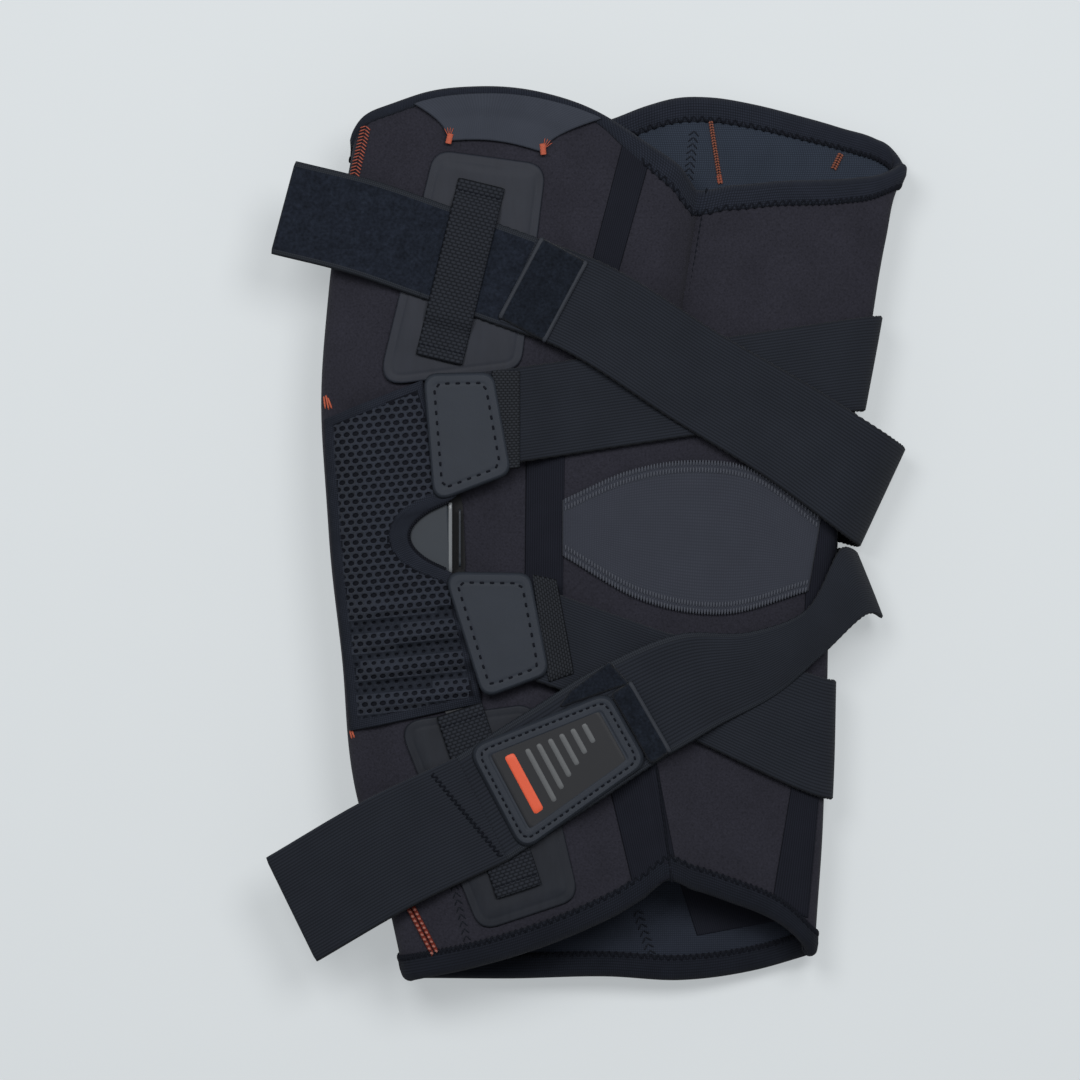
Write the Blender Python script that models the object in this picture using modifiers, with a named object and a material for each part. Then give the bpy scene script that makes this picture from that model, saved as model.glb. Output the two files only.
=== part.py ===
"""Hinged soft knee support, lying flat with its outer hinge side up.

A neoprene sleeve carries a geared two-pivot hinge on each side. The hinge arms sit in pockets, and four
elastic straps cross behind the knee. All sizes are in millimetres in the knee frame: the hinge centre is
near x = 0, y = 0, the thigh lies toward +Y, the calf toward -Y, and the back of the knee toward +X.
"""

import math

import bmesh
import bpy
import numpy as np
from mathutils import Matrix, Vector

MM = 0.001
GAP = 0.3

# Place of the knee frame in the part's frame, whose origin is the middle of the footprint
KNEE_X = -64.0
KNEE_Y = -1.0

# Sleeve
SLEEVE_THICKNESS = 4.0
SLEEVE_SQUARENESS = 6.0
SLEEVE_DEPTH = 30.0
BACK_DEPTH = 26.0
BINDING_WIDTH = 10.0
BINDING_PROUD = 0.6
BINDING_GAP = 0.95
BACK_FALL_START = 72.0
BACK_FALL_END = 150.0

# Hinge
PIVOT_SPACING = 22.0
HINGE_X = -5.6
HINGE_Y = 0.0
LINK_LEAN = 2.35
UPPER_ARM_TILT = -13.6
LOWER_ARM_TILT = 18.3
ARM_WIDTH = 13.0
ARM_THICKNESS = 2.0
UPPER_ARM_LENGTH = 122.0
LOWER_ARM_LENGTH = 125.0
GEAR_TEETH = 24
GEAR_PRESSURE_ANGLE = 20.0
GEAR_BACKLASH = 0.4
GEAR_SPREAD = (-25.0, 70.0)
PLATE_MARGIN = 3.4
PLATE_THICKNESS = 1.2
FRAME_WIDTH = 5.6
RIVET_RADIUS = 3.0
RIVET_HEAD_RADIUS = 4.6
RIVET_HEAD_HEIGHT = 0.8
COVER_WALL = 1.2
COVER_ROUNDING = 0.9

# Soft goods
MESH_THICKNESS = 1.2
TAB_THICKNESS = 2.0
TAB_CORNER = 4.0
PATCH_THICKNESS = 1.2
PATCH_SLOPE = 12.0
PATCH_EDGE_LIFT = 0.5
PATCH_CORNER = 5.0
KEEPER_WIDTH = 18.0
KEEPER_THICKNESS = 1.2
KEEPER_EASE = 3.0
KEEPER_RAMP = 6.0
STRAP_WIDTH = 37.0
STRAP_THICKNESS = 1.6
STRAP_LAY = 2.2
TAIL_WIDTH = 45.0
TAIL_GAP = 0.4
PANEL_THICKNESS = 1.0
PANEL_LAY = 0.5
FLAP_THICKNESS = 1.2
HOOK_THICKNESS = 1.2
BADGE_THICKNESS = 2.2
BADGE_CORNER = 5.0
SEAT = 0.4

# Heights above the sleeve's flat outer side, built up layer by layer
INNER_PLATE_BASE = GAP
ARM_BASE = INNER_PLATE_BASE + PLATE_THICKNESS + GAP
OUTER_PLATE_BASE = ARM_BASE + ARM_THICKNESS + GAP
COVER_BASE = OUTER_PLATE_BASE + PLATE_THICKNESS + GAP
COVER_TOP = COVER_BASE + RIVET_HEAD_HEIGHT + GAP + COVER_WALL
MESH_BASE = COVER_TOP + SEAT
TAB_BASE = MESH_BASE + MESH_THICKNESS + SEAT
TAB_TOP = TAB_BASE + TAB_THICKNESS
STRAP_ROOT = TAB_BASE - GAP - STRAP_THICKNESS
PATCH_BASE = ARM_BASE + ARM_THICKNESS + SEAT
OVER_PATCH = PATCH_BASE + PATCH_THICKNESS + SEAT
OVER_UPPER_STRAP = OVER_PATCH + STRAP_THICKNESS + SEAT
OVER_LOWER_KEEPER = OVER_PATCH + KEEPER_THICKNESS + SEAT
OVER_LOWER_STRAP = OVER_LOWER_KEEPER + STRAP_THICKNESS + SEAT
CROSSING = STRAP_LAY + STRAP_THICKNESS + SEAT

# Heights above the table: the inner side mirrors the outer side down to the inner tabs
FAR_Z = TAB_TOP
NEAR_Z = FAR_Z + SLEEVE_DEPTH
TOP_Z = NEAR_Z + TAB_TOP
BACK_FAR_Z = STRAP_LAY + STRAP_THICKNESS
BACK_NEAR_Z = BACK_FAR_Z + BACK_DEPTH

# Outlines of the flattened sleeve, as points (y, x) along its sides and (share of width, y) along its ends
LEFT_SIDE = [(-178, -9), (-150, -15), (-100, -29), (-50, -34.5), (0, -39.6), (55, -42.4), (100, -39.5),
             (156, -30)]
RIGHT_SIDE = [(-170, 155), (-97, 159), (-25, 161.5), (23, 167), (88, 179.5), (150, 191)]
NEAR_TOP = [(0, 161), (0.05, 169), (0.12, 176.5), (0.23, 180), (0.34, 178), (0.475, 167), (0.55, 155),
            (0.645, 143), (0.8, 145), (1, 152)]
FAR_TOP = [(0, 161), (0.2, 164), (0.475, 168), (0.6, 175), (0.74, 172), (0.865, 167), (0.955, 159), (1, 152)]
NEAR_BOTTOM = [(0, -177), (0.18, -171), (0.38, -161), (0.52, -151), (0.65, -140), (0.8, -146), (0.94, -158),
               (1, -168)]
FAR_BOTTOM = [(0, -177), (0.25, -176.5), (0.5, -175.5), (0.67, -176.5), (0.86, -173), (1, -168)]

# Corners of the flat pieces, as (x, y), the first two at the hinge side on the patches
UPPER_PATCH = [(-19.5, 60.5), (37, 67.5), (47, 148), (3, 154)]
LOWER_PATCH = [(42, -66), (-11.5, -73.5), (21, -156), (60, -143)]
UPPER_TAB = [(-1, 64.5), (3, 14.5), (33, 26), (26, 65)]
LOWER_TAB = [(7, -14), (22.5, -63), (48, -53.5), (40.5, -14.5)]
BADGE = [(16.5, -83.5), (38, -124), (87, -89), (71.5, -61.5)]
LOWER_HOOK = [(73.3, -62.3), (88.6, -89.4), (96, -84.5), (80.5, -57.5)]
HOOK_CORNER = 1.5
UPPER_HOOK_MIDDLE = (46, 98.5)
UPPER_HOOK_LEAN = -28.0
UPPER_HOOK_LENGTH = 19.6
HOOK_WIDTH_SHARE = 0.95
FLAP_BOTTOM = [(8.5, 157.5), (46, 153)]
FLAP_TOP = [(2, 165.5), (62, 158.5)]
UPPER_KEEPER = [(21.6, 140.5), (4.8, 71)]
LOWER_KEEPER = [(12.8, -68.5), (36.4, -140)]
UPPER_KEEPER_MIDDLE = (14, 109)
LOWER_KEEPER_MIDDLE = (24, -107)
PANEL_LOWER = [(54, -7), (85, -24), (118, -29.5), (152, -21)]
PANEL_UPPER = [(54, 15), (80, 26), (106, 30), (132, 26), (157, 8)]
MESH_LEFT_SPAN = (-76.8, 47.2)
MESH_RIGHT_SIDE = [(-65.6, 21.6), (-30, 14), (-13.5, 9), (-9, 0), (0.8, -7.6), (10.5, 0), (15.5, 10), (30, 8),
                   (62.4, -2)]
MESH_SIDE_MARGIN = 1.5
MESH_RISE = 16.0
MESH_END_FALL = (30.0, 62.0)
MESH_NOTCH_HALF = 20.0

# Straps that wrap the back edge: (x, y) of the middle at the root, the back edge and the far end
UPPER_ANCHOR = [(18, 46), (175, 70), (-9, 110)]
LOWER_ANCHOR = [(29, -33), (160, -81), (-4, -108)]
ANCHOR_RAMP = 22.0
ANCHOR_FREE = 34.0
LOWER_ANCHOR_FREE = 43.0
FAR_RAMP = (58.0, 98.0)

# Straps that fold at the back edge: (x, y, angle of the width, share of the width)
UPPER_CROSS_NEAR = [(3.0, 113.5, 70.6, 1.0), (36.5, 101.5, 65.6, 1.0), (56, 94.5, 60.8, 1.0),
                    (108, 63.5, 60, 1.03), (150, 38.5, 62, 1.08), (166, 27.5, 64, 1.12)]
UPPER_CROSS_FOLD = (182, 16.4, 65, 1.15)
UPPER_CROSS_FAR = [(150, 25, 74, 1.05), (98, 40, 82, 1.0), (24, 46, 87, 1.0)]
LOWER_CROSS_NEAR = [(21.8, -107.4, 116.6, 1.22), (52, -88, 120, 1.2), (84, -67.8, 123, 1.16),
                    (107, -57, 112, 1.06), (135, -49.5, 116, 0.7), (154, -38, 114, 0.48)]
LOWER_CROSS_FOLD = (177, -19, 112, 0.74)
LOWER_CROSS_FAR = [(150, -34, 96, 0.9), (110, -40, 92, 1.0), (32, -36, 88, 1.0)]
CROSS_DESCENT = (68.0, 112.0)
LOWER_DESCENT = (98.0, 128.0)
FOLD_EASE = 18.0
BRIDGE_SHARE = 0.9
UPPER_TAIL = [(2.6, 113.6, 70.6), (-26, 123.5, 72.5), (-57, 131.5, 75)]
LOWER_TAIL = [(21.3, -107.7, 116.6), (-14, -124.5, 116.3), (-54, -148, 116)]
UPPER_TAIL_DROOP = 7.0
LOWER_TAIL_DROOP = 12.0

# Facets
AROUND_STEPS = 40
SLEEVE_STEPS = 9
BINDING_STEPS = 1
PANEL_STEPS = (14, 6)
FLAP_STEPS = (8, 3)
PATCH_STEPS = (10, 10)
MESH_STEPS = (8, 24)
KEEPER_STEPS = 20
ANCHOR_STEPS = 34
CROSS_STEPS = 44
TAIL_STEPS = 10
ARC_STEPS = 4
CORNER_STEPS = 3
ROUND_STEPS = 10
RIVET_SIDES = 20

# The soft pieces are drawn for these arms, and graded along the leg with the arms that they cover
UPPER_GRADE = UPPER_ARM_LENGTH / 122.0
LOWER_GRADE = LOWER_ARM_LENGTH / 125.0


# Curves and small geometry

def graded(y):
    """A height along the leg as drawn, graded to the arm lengths."""
    return y * (UPPER_GRADE if y > 0 else LOWER_GRADE)


def graded_points(points):
    """Drawn points (x, y, ...) graded along the leg."""
    return [(p[0], graded(p[1]), *p[2:]) for p in points]


def through(points):
    """A smooth function through (t, value) points, with slopes from their neighbours."""
    t = np.array([p[0] for p in points], float)
    value = np.array([p[1:] for p in points], float)
    slope = np.gradient(value, t, axis=0, edge_order=1)

    def at(where):
        where = min(max(where, t[0]), t[-1])
        i = min(int(np.searchsorted(t, where, side="right")) - 1, len(t) - 2)
        h = t[i + 1] - t[i]
        k = (where - t[i]) / h
        a = (1 + 2 * k) * (1 - k) ** 2
        b = k * (1 - k) ** 2
        c = k * k * (3 - 2 * k)
        d = k * k * (k - 1)
        result = a * value[i] + b * h * slope[i] + c * value[i + 1] + d * h * slope[i + 1]
        return float(result[0]) if len(result) == 1 else result

    return at


def smoothstep(low, high, t):
    k = min(max((t - low) / (high - low), 0.0), 1.0)
    return k * k * (3 - 2 * k)


def mix(a, b, k):
    return a + (b - a) * k


def turned(point, degrees):
    a = math.radians(degrees)
    x, y = point
    return (x * math.cos(a) - y * math.sin(a), x * math.sin(a) + y * math.cos(a))


def rounded(corners, radius):
    """The corners as an outline with an arc of the radius at each."""
    outline = []
    count = len(corners)
    for i, corner in enumerate(corners):
        here = Vector(corner)
        before = (Vector(corners[i - 1]) - here).normalized()
        after = (Vector(corners[(i + 1) % count]) - here).normalized()
        half = before.angle(after) / 2
        centre = here + (before + after).normalized() * (radius / math.sin(half))
        start = here + before * (radius / math.tan(half)) - centre
        end = here + after * (radius / math.tan(half)) - centre
        sweep = start.angle_signed(end)
        for step in range(ARC_STEPS + 1):
            outline.append(centre + Matrix.Rotation(-sweep * step / ARC_STEPS, 2) @ start)
    return [(p.x, p.y) for p in outline]


def circle(centre, radius, sides):
    steps = [2 * math.pi * i / sides for i in range(sides)]
    return [(centre[0] + radius * math.cos(a), centre[1] + radius * math.sin(a)) for a in steps]


def stadium(first, second, radius):
    """A slot shape round two centres."""
    heading = math.atan2(second[1] - first[1], second[0] - first[0])
    outline = []
    for centre, start in ((second, heading - math.pi / 2), (first, heading + math.pi / 2)):
        for i in range(ROUND_STEPS + 1):
            a = start + math.pi * i / ROUND_STEPS
            outline.append((centre[0] + radius * math.cos(a), centre[1] + radius * math.sin(a)))
    return outline


# The sleeve's outer surface

left_side = through([(graded(y), x) for y, x in LEFT_SIDE])
right_side = through([(graded(y), x) for y, x in RIGHT_SIDE])
near_top = through(graded_points(NEAR_TOP))
far_top = through(graded_points(FAR_TOP))
near_bottom = through(graded_points(NEAR_BOTTOM))
far_bottom = through(graded_points(FAR_BOTTOM))


def side_height(side, x, share):
    """Height of the near (+1) or far (-1) side at x, at a share of the width from the left."""
    fall = smoothstep(BACK_FALL_START, BACK_FALL_END, x)
    near = mix(NEAR_Z, BACK_NEAR_Z, fall)
    far = mix(FAR_Z, BACK_FAR_Z, fall)
    middle = (near + far) / 2
    swell = max(0.0, 1 - abs(2 * share - 1) ** SLEEVE_SQUARENESS) ** (1 / SLEEVE_SQUARENESS)
    return middle + swell * ((near if side > 0 else far) - middle)


def surface_height(side, x, y, most=1.0):
    """Height of a side over (x, y), held level past the given share of the width."""
    share = (x - left_side(y)) / (right_side(y) - left_side(y))
    return side_height(side, x, min(max(share, 0.0), most))


def sleeve_point(turn, y):
    """A point outside: turn runs 0 to 1 from the front fold over the near side and back below."""
    share = (1 - math.cos(2 * math.pi * turn)) / 2
    x = mix(left_side(y), right_side(y), share)
    return Vector((x, y, side_height(1 if turn % 1.0 < 0.5 else -1, x, share)))


def sleeve_normal(turn, y):
    step = 0.004
    along = sleeve_point(turn + step, y) - sleeve_point(turn - step, y)
    return Vector((-along.z, 0.0, along.x)).normalized()


def turn_of(x, y):
    share = (x - left_side(y)) / (right_side(y) - left_side(y))
    return math.acos(1 - 2 * min(max(share, 0.0), 1.0)) / (2 * math.pi)


# Blender objects

for old in list(bpy.data.objects):
    bpy.data.objects.remove(old)

parts = bpy.data.collections.new("knee_support")
cutters = bpy.data.collections.new("knee_support_cutters")
bpy.context.scene.collection.children.link(parts)
bpy.context.scene.collection.children.link(cutters)

knee = bpy.data.objects.new("knee_frame", None)
knee.location = (KNEE_X * MM, KNEE_Y * MM, 0.0)
parts.objects.link(knee)
bpy.context.view_layer.update()


def material(name, colour, roughness, metallic=0.0):
    made = bpy.data.materials.new(name)
    made.use_nodes = True
    shader = made.node_tree.nodes["Principled BSDF"]
    shader.inputs["Base Color"].default_value = (*colour, 1.0)
    shader.inputs["Roughness"].default_value = roughness
    shader.inputs["Metallic"].default_value = metallic
    return made


NEOPRENE = material("neoprene", (0.027, 0.027, 0.036), 0.85)
BINDING = material("binding", (0.015, 0.016, 0.020), 0.9)
KNIT = material("stretch_knit", (0.037, 0.041, 0.054), 0.85)
AIR_MESH = material("air_mesh", (0.020, 0.023, 0.032), 0.8)
RUBBER = material("moulded_rubber", (0.039, 0.045, 0.059), 0.6)
POCKET = material("pocket_laminate", (0.036, 0.038, 0.048), 0.65)
ELASTIC = material("elastic_webbing", (0.017, 0.020, 0.027), 0.8)
WEBBING = material("keeper_webbing", (0.023, 0.026, 0.032), 0.75)
LOOP_PILE = material("loop_pile", (0.013, 0.016, 0.024), 0.95)
STEEL = material("blackened_steel", (0.08, 0.08, 0.085), 0.4, 0.9)
RIVET_STEEL = material("rivet_steel", (0.35, 0.35, 0.36), 0.3, 1.0)
HOUSING = material("hinge_plastic", (0.056, 0.064, 0.076), 0.45)


def placed(name, data, finish):
    made = bpy.data.objects.new(name, data)
    data.materials.append(finish)
    parts.objects.link(made)
    made.parent = knee
    return made


def grid_mesh(name, rows, closed=False, corner=0.0):
    """A quad sheet from rows of points, or a closed ring of rings, with an open sheet's corners cut round."""
    mesh = bpy.data.meshes.new(name)
    sheet = bmesh.new()
    verts = [[sheet.verts.new(Vector(p) * MM) for p in row] for row in rows]
    following = verts[1:] + (verts[:1] if closed else [])
    for lower, upper in zip(verts, following):
        wide = len(lower)
        for i in range(wide if closed else wide - 1):
            j = (i + 1) % wide
            sheet.faces.new((lower[i], lower[j], upper[j], upper[i]))
    if corner:
        corners = [verts[0][0], verts[0][-1], verts[-1][0], verts[-1][-1]]
        bmesh.ops.bevel(sheet, geom=corners, offset=corner * MM, segments=CORNER_STEPS,
                          affect="VERTICES", profile=0.5)
    bmesh.ops.recalc_face_normals(sheet, faces=sheet.faces)
    sheet.to_mesh(mesh)
    sheet.free()
    return mesh


def cloth(name, rows, thickness, finish, corner=0.0):
    """A sheet of even thickness about the given middle surface."""
    made = placed(name, grid_mesh(name, rows, corner=corner), finish)
    made.data.shade_smooth()
    shell = made.modifiers.new("thickness", "SOLIDIFY")
    shell.thickness = thickness * MM
    shell.offset = 0.0
    shell.use_even_offset = True
    return made


def side_z(side, height):
    """Height above the table of a layer at a height above the outer side, or its mirror on the inner side."""
    return NEAR_Z + height if side > 0 else TOP_Z - NEAR_Z - height


def plate(name, side, outlines, base, thickness, finish):
    """A flat plate from outlines, where the second and later ones are holes."""
    curve = bpy.data.curves.new(name, "CURVE")
    curve.dimensions = "2D"
    curve.fill_mode = "BOTH"
    curve.extrude = thickness / 2 * MM
    for outline in outlines:
        spline = curve.splines.new("POLY")
        spline.points.add(len(outline) - 1)
        spline.use_cyclic_u = True
        for point, (x, y) in zip(spline.points, outline):
            point.co = (x * MM, y * MM, 0.0, 1.0)
    made = placed(name, curve, finish)
    made.location.z = side_z(side, base + thickness / 2) * MM
    return made


def as_mesh(made):
    """The curve object as a mesh object with its caps welded."""
    bpy.context.view_layer.update()
    graph = bpy.context.evaluated_depsgraph_get()
    mesh = bpy.data.meshes.new_from_object(made.evaluated_get(graph))
    work = bmesh.new()
    work.from_mesh(mesh)
    bmesh.ops.remove_doubles(work, verts=work.verts, dist=1e-6)
    work.to_mesh(mesh)
    work.free()
    name = made.name
    matrix = made.matrix_world.copy()
    collection = made.users_collection[0]
    bpy.data.objects.remove(made)
    mesh.name = name
    solid = bpy.data.objects.new(name, mesh)
    collection.objects.link(solid)
    solid.matrix_world = matrix
    return solid


# Sleeve, bindings and the panel behind the knee

def sleeve_section(name, ends, lay, thickness, finish, along):
    """A length of the tube between two end lines, each a function of the turn, lofted out and back in."""
    def ring(depth, k):
        line = []
        for i in range(AROUND_STEPS):
            turn = i / AROUND_STEPS
            y = mix(ends[0](turn), ends[1](turn), k)
            line.append(sleeve_point(turn, y) + sleeve_normal(turn, y) * depth)
        return line

    outer = [ring(lay, j / along) for j in range(along + 1)]
    inner = [ring(lay - thickness, j / along) for j in reversed(range(along + 1))]
    made = placed(name, grid_mesh(name, outer + inner, closed=True), finish)
    made.data.shade_smooth()
    made.data.set_sharp_from_angle(angle=math.radians(50))
    return made


def end_line(near, far, shift):
    def at(turn):
        share = (1 - math.cos(2 * math.pi * turn)) / 2
        return (near if turn < 0.5 else far)(share) + shift

    return at


def knee_line(shift):
    return lambda turn: shift


def make_sleeve():
    bound = BINDING_WIDTH + BINDING_GAP
    bound_thickness = SLEEVE_THICKNESS + 2 * BINDING_PROUD
    top = end_line(near_top, far_top, 0.0)
    top_cut = end_line(near_top, far_top, -bound)
    top_bound = end_line(near_top, far_top, -BINDING_WIDTH)
    bottom = end_line(near_bottom, far_bottom, 0.0)
    bottom_cut = end_line(near_bottom, far_bottom, bound)
    bottom_bound = end_line(near_bottom, far_bottom, BINDING_WIDTH)
    knee_top = knee_line(GAP / 2)
    knee_bottom = knee_line(-GAP / 2)
    sleeve_section("thigh_sleeve", (knee_top, top_cut), 0.0, SLEEVE_THICKNESS, NEOPRENE, SLEEVE_STEPS)
    sleeve_section("calf_sleeve", (bottom_cut, knee_bottom), 0.0, SLEEVE_THICKNESS, NEOPRENE, SLEEVE_STEPS)
    sleeve_section("thigh_binding", (top_bound, top), BINDING_PROUD, bound_thickness, BINDING, BINDING_STEPS)
    sleeve_section("calf_binding", (bottom, bottom_bound), BINDING_PROUD, bound_thickness, BINDING,
                   BINDING_STEPS)


def make_panel():
    lower = through(PANEL_LOWER)
    upper = through(PANEL_UPPER)
    columns, lengths = PANEL_STEPS
    rows = []
    for j in range(lengths + 1):
        row = []
        for i in range(columns + 1):
            low_x = mix(PANEL_LOWER[0][0], PANEL_LOWER[-1][0], i / columns)
            high_x = mix(PANEL_UPPER[0][0], PANEL_UPPER[-1][0], i / columns)
            x = mix(low_x, high_x, j / lengths)
            y = mix(lower(low_x), upper(high_x), j / lengths)
            row.append((x, y, surface_height(1, x, y) + PANEL_LAY + PANEL_THICKNESS / 2))
        rows.append(row)
    cloth("popliteal_panel", rows, PANEL_THICKNESS, KNIT)


def make_flap():
    columns, lengths = FLAP_STEPS
    bottom = [Vector(p) for p in graded_points(FLAP_BOTTOM)]
    top = [Vector(p) for p in graded_points(FLAP_TOP)]
    rows = []
    for j in range(lengths + 1):
        start = bottom[0].lerp(top[0], j / lengths)
        end = bottom[1].lerp(top[1], j / lengths)
        row = []
        for i in range(columns + 1):
            p = start.lerp(end, i / columns)
            row.append((p.x, p.y, surface_height(1, p.x, p.y) + PANEL_LAY + FLAP_THICKNESS / 2))
        rows.append(row)
    cloth("pocket_flap", rows, FLAP_THICKNESS, POCKET)


# Geared hinge

LINK_UP = turned((0.0, 1.0), LINK_LEAN)
UPPER_PIVOT = (HINGE_X + LINK_UP[0] * PIVOT_SPACING / 2, HINGE_Y + LINK_UP[1] * PIVOT_SPACING / 2)
LOWER_PIVOT = (HINGE_X - LINK_UP[0] * PIVOT_SPACING / 2, HINGE_Y - LINK_UP[1] * PIVOT_SPACING / 2)
PITCH_RADIUS = PIVOT_SPACING / 2
MODULE = PIVOT_SPACING / GEAR_TEETH
TIP_RADIUS = PITCH_RADIUS + MODULE
ROOT_RADIUS = PITCH_RADIUS - 1.25 * MODULE
PLATE_RADIUS = PITCH_RADIUS + PLATE_MARGIN


def involute_angle(radius):
    base = PITCH_RADIUS * math.cos(math.radians(GEAR_PRESSURE_ANGLE))
    pressure = math.acos(min(1.0, base / radius))
    return math.tan(pressure) - pressure


def tooth_half_angle(radius):
    at_pitch = math.pi / (2 * GEAR_TEETH) - GEAR_BACKLASH / (4 * PITCH_RADIUS)
    return at_pitch + involute_angle(PITCH_RADIUS) - involute_angle(radius)


def arm_outline(length, half_tooth):
    """An arm along +Y from a pivot at the origin, with gear teeth round the pivot's lower right side."""
    half = ARM_WIDTH / 2
    outline = []
    for i in range(9):
        a = math.pi * i / 8
        outline.append((half * math.cos(a), length + half * math.sin(a)))
    shoulder = math.asin(half / ROOT_RADIUS)
    pitch = 2 * math.pi / GEAR_TEETH
    low, high = (math.radians(a) for a in GEAR_SPREAD)
    first = math.ceil(low / pitch - half_tooth)
    last = math.floor(high / pitch - half_tooth)
    centres = [(k + half_tooth) * pitch for k in range(first, last + 1)]
    plain_start = -(math.pi - shoulder)
    plain_end = centres[0] - pitch / 2
    for i in range(6):
        outline.append(from_below(ROOT_RADIUS, mix(plain_start, plain_end, i / 5)))
    flank = [mix(ROOT_RADIUS, TIP_RADIUS, k) for k in (0.0, 0.3, 0.65, 1.0)]
    for centre in centres:
        for radius in flank:
            outline.append(from_below(radius, centre - tooth_half_angle(radius)))
        for radius in reversed(flank):
            outline.append(from_below(radius, centre + tooth_half_angle(radius)))
    for i in range(5):
        outline.append(from_below(ROOT_RADIUS, mix(centres[-1] + pitch / 2, math.pi - shoulder, i / 4)))
    return outline


def from_below(radius, angle):
    """A point at an angle turned counterclockwise from straight down."""
    return (radius * math.sin(angle), -radius * math.cos(angle))


def moved(outline, pivot, degrees, flip=1):
    made = []
    for x, y in outline:
        turned_x, turned_y = turned((x, y * flip), degrees)
        made.append((pivot[0] + turned_x, pivot[1] + turned_y))
    return made


def rivet(name, side, pivot):
    """A turned pin with a flat head, from the inner plate's face to over the outer plate."""
    head_base = COVER_BASE
    head_top = head_base + RIVET_HEAD_HEIGHT
    profile = [(0.0, head_top), (RIVET_HEAD_RADIUS, head_top), (RIVET_HEAD_RADIUS, head_base),
               (RIVET_RADIUS, head_base), (RIVET_RADIUS, INNER_PLATE_BASE), (0.0, INNER_PLATE_BASE)]
    mesh = bpy.data.meshes.new(name)
    turning = bmesh.new()
    verts = [turning.verts.new((r * MM, 0.0, h * MM)) for r, h in profile]
    for a, b in zip(verts, verts[1:]):
        turning.edges.new((a, b))
    turning.to_mesh(mesh)
    turning.free()
    made = placed(name, mesh, RIVET_STEEL)
    made.location = (pivot[0] * MM, pivot[1] * MM, side_z(side, 0.0) * MM)
    made.rotation_euler.x = 0.0 if side > 0 else math.pi
    screw = made.modifiers.new("turn", "SCREW")
    screw.steps = RIVET_SIDES
    screw.render_steps = RIVET_SIDES
    screw.use_merge_vertices = True
    screw.merge_threshold = 0.00001
    screw.use_smooth_shade = False


def hinge_cover(name, side):
    """A cap with a rounded top edge, open below over the rivet heads."""
    body = as_mesh(plate(name, side, [stadium(LOWER_PIVOT, UPPER_PIVOT, PLATE_RADIUS)], COVER_BASE,
                         COVER_TOP - COVER_BASE, HOUSING))
    body.parent = knee
    body.matrix_parent_inverse = knee.matrix_world.inverted()
    depth = RIVET_HEAD_HEIGHT + GAP
    hollow = plate(name + "_hollow", side, [stadium(LOWER_PIVOT, UPPER_PIVOT, PLATE_RADIUS - COVER_WALL)],
                   COVER_BASE - depth, 2 * depth, HOUSING)
    hollow = as_mesh(hollow)
    parts.objects.unlink(hollow)
    cutters.objects.link(hollow)
    hollow.hide_render = True
    hollow.display_type = "WIRE"
    cut = body.modifiers.new("hollow", "BOOLEAN")
    cut.operation = "DIFFERENCE"
    cut.object = hollow
    edge = body.modifiers.new("rounding", "BEVEL")
    edge.width = COVER_ROUNDING * MM
    edge.segments = 2
    edge.limit_method = "WEIGHT"
    top = (COVER_TOP - COVER_BASE) / 2 * MM * side
    weights = body.data.attributes.new("bevel_weight_edge", "FLOAT", "EDGE")
    for line in body.data.edges:
        ends = [body.data.vertices[v].co.z for v in line.vertices]
        beside = [f for f in body.data.polygons if set(line.vertices) <= set(f.vertices)]
        on_rim = any(abs(f.normal.z) < 0.5 for f in beside)
        on_top = all(abs(z - top) < 1e-6 for z in ends)
        weights.data[line.index].value = 1.0 if on_rim and on_top else 0.0


def make_hinge(label, side):
    upper_hole = circle(UPPER_PIVOT, RIVET_RADIUS + GAP, RIVET_SIDES)
    lower_hole = circle(LOWER_PIVOT, RIVET_RADIUS + GAP, RIVET_SIDES)
    link = stadium(LOWER_PIVOT, UPPER_PIVOT, PLATE_RADIUS)
    frame_hole = stadium(LOWER_PIVOT, UPPER_PIVOT, PLATE_RADIUS + GAP)
    frame = stadium(LOWER_PIVOT, UPPER_PIVOT, PLATE_RADIUS + GAP + FRAME_WIDTH)
    upper = moved(arm_outline(UPPER_ARM_LENGTH, 0.0), UPPER_PIVOT, UPPER_ARM_TILT)
    lower = moved(arm_outline(LOWER_ARM_LENGTH, 0.5), LOWER_PIVOT, LOWER_ARM_TILT, flip=-1)
    plate(label + "_hinge_frame", side, [frame, frame_hole], INNER_PLATE_BASE, PLATE_THICKNESS, HOUSING)
    link_plate = [link, upper_hole, lower_hole]
    plate(label + "_inner_plate", side, link_plate, INNER_PLATE_BASE, PLATE_THICKNESS, STEEL)
    plate(label + "_upper_arm", side, [upper, upper_hole], ARM_BASE, ARM_THICKNESS, STEEL)
    plate(label + "_lower_arm", side, [lower, lower_hole], ARM_BASE, ARM_THICKNESS, STEEL)
    plate(label + "_outer_plate", side, link_plate, OUTER_PLATE_BASE, PLATE_THICKNESS, STEEL)
    rivet(label + "_upper_rivet", side, UPPER_PIVOT)
    rivet(label + "_lower_rivet", side, LOWER_PIVOT)
    hinge_cover(label + "_hinge_cover", side)


# Pieces sewn on each side

def side_sheet(name, side, rows, base_thickness, finish, corner=0.0):
    """A sheet from rows of (x, y, height above the flat side), mirrored below for the inner side."""
    placed_rows = [[(x, y, side_z(side, h)) for x, y, h in row] for row in rows]
    return cloth(name, placed_rows, base_thickness, finish, corner=corner)


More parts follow.
